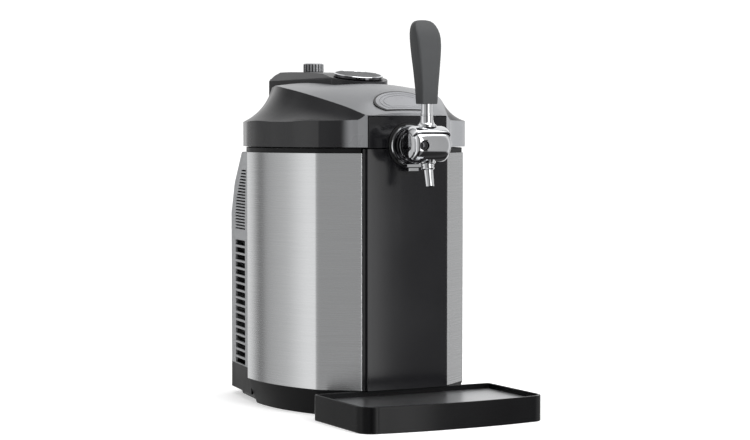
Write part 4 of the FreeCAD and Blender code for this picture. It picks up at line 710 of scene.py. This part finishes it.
def dress_lock():
    """Satin lock disc with a polished rim, a sunk face and a pointer dimple; the edge below the rim is
    chrome painted dark as shade and dark reflection.
    """
    disc = turned(LOCK_ROWS, sides=96)
    join_shape(disc, lay(turned(DIMPLE_ROWS, sides=24), place=DIMPLE_PLACE), "DIFFERENCE")
    rim, face, edge = range(3)

    def choose(middle, normal):
        if middle.z > LOCK_FACE_LOW and middle.xy.length < LOCK_FACE:
            return face
        return edge if middle.z < LOCK_RIM_LOW else rim

    finish_faces(disc, ("chrome", "satin_disc", "chrome_dark"), choose)
    soften(disc, degrees=24)
    lay(disc, (LOCK_TILT, 0, 0), LOCK_PLACE)
    stand_in(disc, "lock_dial", "lock_disc")


KNOB_FLUTES = 20
FLUTE_SIDES = 4        # sides of the knob to each flute and its rib, half of them sunk
KNOB_STEM = 5.0        # radius
# radius, depth below the top
KNOB_ROWS = [(12.2, 11.2), (13.0, 10.5), (13.0, 1.2), (12.4, 0.4), (11.4, 0), (8.5, 0), (8.1, 0.5)]
KNOB_SIDE = (1.3, 10.4)    # depths between which the flutes lie
FLUTE_EDGE = 0.25
FLUTE_DEPTH = 0.9
FLUTE_OUT = 12.0       # faces of the knob's side lie beyond this radius
FLUTE_FLOOR = 12.6     # and what is sunk lies within this one, and is painted darker as shade


def make_knob():
    """Regulator knob with sunk flutes between broad ribs; the flutes' floors are painted darker as shade."""
    low, high = (corner.z / MM for corner in map(Vector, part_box("regulator_knob")))
    middle = sum(corner[1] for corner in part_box("regulator_knob")) / 2 / MM
    rim = high - KNOB_ROWS[0][1]
    head = [(radius, high - below) for radius, below in KNOB_ROWS]
    sides = KNOB_FLUTES * FLUTE_SIDES
    knob = turned([(KNOB_STEM, low), (KNOB_STEM, rim)] + head, sides)

    def in_flute(face, normal):
        turn = math.degrees(math.atan2(face.y, face.x)) % 360
        on_side = KNOB_SIDE[0] < high - face.z < KNOB_SIDE[1] and face.xy.length > FLUTE_OUT
        return on_side and int(turn * sides / 360) % FLUTE_SIDES < FLUTE_SIDES / 2

    select_faces(knob, in_flute)
    bpy.ops.mesh.inset(thickness=FLUTE_EDGE * MM, depth=-FLUTE_DEPTH * MM)
    bpy.ops.object.mode_set(mode="OBJECT")
    finish_faces(knob, ("knob_grey", "knob_dark"),
                 lambda face, normal: int(face.xy.length < FLUTE_FLOOR and high - face.z > KNOB_SIDE[0]))
    lay(knob, place=(0, middle, 0))
    soften(knob, degrees=25)
    stand_in(knob, "pressure_knob", "regulator_knob")


# ---------------------------------------------------------------- tap

TAP_Z = 317.5
BARREL_Y = -172.0
WALL_Y = -129.2        # back of the wall flange
OUTLET_PLACE = (0, BARREL_Y - 2, 296.5)
# radius, place along the barrel; the other half is the same
HALF_BARREL = [(7.0, -25.0), (12.0, -24.8), (14.6, -24.1), (15.8, -23.1), (15.3, -22.5), (16.3, -22.0),
               (18.0, -21.1), (19.0, -19.9), (19.6, -18.0), (20.0, -14.5), (20.2, -9.0), (20.3, -3.0)]
HALF_SADDLE = [(14.4, -24.9), (17.0, -24.5), (19.0, -23.5), (21.0, -21.9), (22.1, -20.0), (22.5, -17.6)]
BARREL_NECK = [(9, 0), (9, 22.2)]
BARREL_OUTLET = [(8.4, 0), (9.2, 0.8), (10.6, 5.0), (13.0, 9.0)]
RECESS_PLACE = (-13.2, -188.8, TAP_Z)      # middle of the floor of the screw's recess
RECESS_ROWS = [(5.9, 0), (5.9, 10), (7.5, 12)]
RECESS_MOUTH = -191.9                      # the recess's black coat of painted shade ends here


def there_and_back(half):
    """Whole profile from the rows of one half."""
    return half + [(radius, -place) for radius, place in reversed(half)]


def make_tap_barrel():
    """Barrel across the tap, with ringed ends, a neck behind, the outlet below and a screw recess painted
    black inside as shade.
    """
    barrel = lay(turned(there_and_back(HALF_BARREL), sides=96), (0, 90, 0), (0, BARREL_Y, TAP_Z))
    join_shape(barrel, lay(turned(BARREL_NECK), (-90, 0, 0), (0, BARREL_Y, TAP_Z)), "UNION")
    join_shape(barrel, lay(turned(BARREL_OUTLET), place=OUTLET_PLACE), "UNION")
    join_shape(barrel, lay(turned(RECESS_ROWS, sides=48), (90, 0, 0), RECESS_PLACE), "DIFFERENCE")
    within = RECESS_ROWS[0][0] + 0.05

    def in_recess(middle, normal):
        from_axis = math.hypot(middle.x - RECESS_PLACE[0], middle.z - TAP_Z)
        return int(from_axis < within and RECESS_MOUTH < middle.y < BARREL_Y)

    # the recess is coated black as painted shade
    finish_faces(barrel, ("chrome", "groove_black"), in_recess)
    soften(barrel, degrees=24)
    stand_in(barrel, "tap_barrel", "tap_body")


SADDLE_FRONT = 47      # degrees from its crown to its front edge
SADDLE_REAR = 58
SADDLE_WALL = 1.5
NECK_ROWS = [(11.8, 338.8), (11.4, 340.6), (9.7, 341.9), (8.4, 343.9), (7.6, 346.8), (7.4, 350.8),
             (6.9, 351.3), (6.9, 352.1), (7.3, 352.6), (7.1, 354.2), (6.6, 355.4), (6.4, 365.4)]


def make_tap_lever():
    """Saddle that rides round the barrel, with the bright neck rising from its crown."""
    saddle = lay(turned(there_and_back(HALF_SADDLE), sides=96), (0, 90, 0), (0, BARREL_Y, TAP_Z))
    ends = -HALF_SADDLE[0][1] - 0.1
    select_faces(saddle, lambda middle, normal: abs(middle.x) > ends)
    bpy.ops.mesh.delete(type="FACE")
    axis = Vector((0, BARREL_Y, TAP_Z)) * MM
    for angle, at_front in ((SADDLE_FRONT, True), (-SADDLE_REAR, False)):
        turn = math.radians(angle)
        bpy.ops.mesh.select_all(action="SELECT")
        bpy.ops.mesh.bisect(plane_co=axis, plane_no=(0, -math.cos(turn), -math.sin(turn)),
                            clear_outer=at_front, clear_inner=not at_front)
    bpy.ops.object.mode_set(mode="OBJECT")
    work(saddle, "SOLIDIFY", thickness=SADDLE_WALL * MM, offset=-1)
    round_edges(saddle, width=0.45, degrees=50, segments=2)
    join_shape(saddle, lay(turned(NECK_ROWS), place=(0, BARREL_Y, 0)), "UNION")
    coat(saddle, "chrome")
    soften(saddle, degrees=24)
    stand_in(saddle, "tap_saddle", "lever_neck")


# radius, distance out from the wall
FLANGE_RIM = [(23.4, 0), (24.0, 0.5), (24.0, 2.1), (23.5, 3.1), (22.6, 3.6), (21.8, 3.5), (21.3, 2.9)]
FLANGE_DISH = [(21.1, 2.2), (19.6, 2.1), (19.3, 2.6)]
FLANGE_COLLAR = [(19.0, 3.4), (19.0, 6.2), (18.5, 6.9), (17.2, 7.2), (17.0, 7.8), (17.0, 9.2), (17.3, 9.8),
                 (18.2, 10.2), (18.4, 10.8), (18.4, 12.6), (17.8, 13.2), (16.4, 13.5), (16.1, 14.1),
                 (16.1, 15.6), (16.5, 16.1), (17.0, 16.6), (17.0, 19.0), (16.2, 20.2), (14.8, 20.8)]
RIM_RADIUS = 21.2                                    # the rim lies beyond this
COLLAR_RIBS = [(3, 6.3), (10.3, 12.8), (16.4, 21)]   # bright between these distances out; between them the chrome is painted dark as shade
RIB_RADIUS = 14


def make_tap_flange():
    """Bright rolled rim, a dish inside it painted dark as a reflection of the black panel, and a ribbed
    collar painted dark as shade between its bright ribs.
    """
    flange = turned(FLANGE_RIM + FLANGE_DISH + FLANGE_COLLAR, sides=96)
    lay(flange, (90, 0, 0), (0, WALL_Y, TAP_Z))
    bright, dark = range(2)

    def choose(middle, normal):
        out = WALL_Y - middle.y
        radius = math.hypot(middle.x, middle.z - TAP_Z)
        on_rib = radius > RIB_RADIUS and any(start < out < end for start, end in COLLAR_RIBS)
        return bright if radius > RIM_RADIUS or on_rib else dark

    finish_faces(flange, ("chrome", "chrome_dark"), choose)
    soften(flange, degrees=24)
    stand_in(flange, "tap_rosette", "tap_flange")


SPOUT_LEAN = 12
SPOUT_ROWS = [(3.3, -12), (3.3, -26.8), (3.8, -27.0), (4.7, -27.0), (5.0, -26.7), (5.6, -7.8), (6.7, -7.2),
              (7.4, -6.5), (7.4, -4.7), (6.9, -4.3), (6.9, -3.6), (7.4, -3.2), (7.4, -1.0), (6.8, -0.3),
              (6.0, -0.1)]


def make_spout():
    """Outlet tube with a grooved clamp collar, leaning to the front."""
    tube = lay(turned(SPOUT_ROWS, sides=56), (-SPOUT_LEAN, 0, 0), OUTLET_PLACE)
    coat(tube, "chrome")
    soften(tube, degrees=24)
    stand_in(tube, "outlet_tube", "spout")


# Handle sections: height, half width, front and rear of the section about the barrel's axis.
HANDLE_ROWS = [
    (365.0, 10.3, -7.7, 7.7), (366.0, 10.8, -8.1, 8.1), (384.0, 11.6, -8.8, 9.2), (404.0, 13.3, -9.4, 10.8),
    (421.0, 15.0, -9.0, 12.4), (432.0, 15.9, -8.2, 13.3), (440.0, 16.2, -6.6, 13.9),
    (446.0, 16.0, -4.2, 14.3), (451.0, 15.2, -1.1, 14.6), (455.0, 13.9, 2.0, 14.7), (458.2, 12.0, 4.8, 14.3),
    (460.2, 9.4, 7.0, 13.3), (461.1, 6.2, 8.6, 12.0), (461.5, 3.0, 9.6, 11.2),
]
HANDLE_CORNER = 0.15     # corner radius as a share of the section
HANDLE_SIDE = 2          # side of the square that the first section is scaled from


def make_handle():
    """Grip that widens upwards; its flat front leans back at the crown."""
    clear_selection()
    height, half, front, rear = HANDLE_ROWS[0]
    bpy.ops.mesh.primitive_plane_add(size=HANDLE_SIDE, location=(0, 0, 0))
    bpy.ops.object.mode_set(mode="EDIT")
    bpy.ops.mesh.bevel(offset=HANDLE_CORNER * HANDLE_SIDE, segments=5, affect="VERTICES")
    bpy.ops.mesh.select_all(action="SELECT")
    bpy.ops.transform.resize(value=(half * MM, (rear - front) / 2 * MM, 1), center_override=(0, 0, 0))
    middle = Vector((0, BARREL_Y + (front + rear) / 2, height)) * MM
    bpy.ops.transform.translate(value=middle)
    for next_height, next_half, next_front, next_rear in HANDLE_ROWS[1:]:
        next_middle = Vector((0, BARREL_Y + (next_front + next_rear) / 2, next_height)) * MM
        bpy.ops.mesh.extrude_region_move(TRANSFORM_OT_translate={"value": next_middle - middle})
        bpy.ops.transform.resize(value=(next_half / half, (next_rear - next_front) / (rear - front), 1),
                                 center_override=next_middle)
        half, front, rear, middle = next_half, next_front, next_rear, next_middle
    close_outwards()
    handle = bpy.context.object
    coat(handle, "handle_grey")
    soften(handle, degrees=28)
    stand_in(handle, "tap_grip", "tap_handle")


# ---------------------------------------------------------------- rear cover

SKIRT_TOP = 41.5


def dress_rear():
    """Grey cover with a black skirt below its lowest window."""
    cover = copy_node("rear_cover", "rear_jacket")
    cut_level(cover, SKIRT_TOP)
    finish_faces(cover, ("cover_grey", "base_black"), lambda middle, normal: int(middle.z < SKIRT_TOP))
    soften(cover)


# ---------------------------------------------------------------- mouldings with rounded edges

# node, finished piece, finish, edge radius in mm
MOULDINGS = [
    ("drip_tray", "tray_pan", "tray_gloss", 1.2), ("drip_plate", "tray_grate", "plate_satin", 0.4),
    ("base_plinth", "foot_ring", "base_black", 1.0), ("top_collar", "neck_ring", "base_black", 0.6),
    ("front_panel", "front_face", "panel_gloss", 0.8), ("tap_fascia", "tap_plate", "panel_gloss", 0.8),
    ("steel_side_left", "sheet_left", "brushed_steel", 0.4),
    ("steel_side_right", "sheet_right", "brushed_steel", 0.4),
    ("release_tab", "tab_cap", "chrome", 0.7), ("switch_rocker", "rocker_cap", "rubber_black", 0.4),
    ("switch_housing", "switch_frame", "base_black", 0.4), ("power_inlet", "inlet_block", "base_black", 0.3),
]


def dress_mouldings():
    for node, name, finish, radius in MOULDINGS:
        piece = copy_node(node, name)
        round_edges(piece, radius, degrees=35)
        coat(piece, finish)
        soften(piece)
        hold_flats(piece)


place_camera()
light_studio()
lay_floor()
make_finishes()
finish_nodes()
dress_lid()
dress_display()
dress_spine()
dress_lock()
make_knob()
make_tap_barrel()
make_tap_lever()
make_tap_flange()
make_spout()
make_handle()
dress_rear()
dress_mouldings()

bpy.context.view_layer.update()
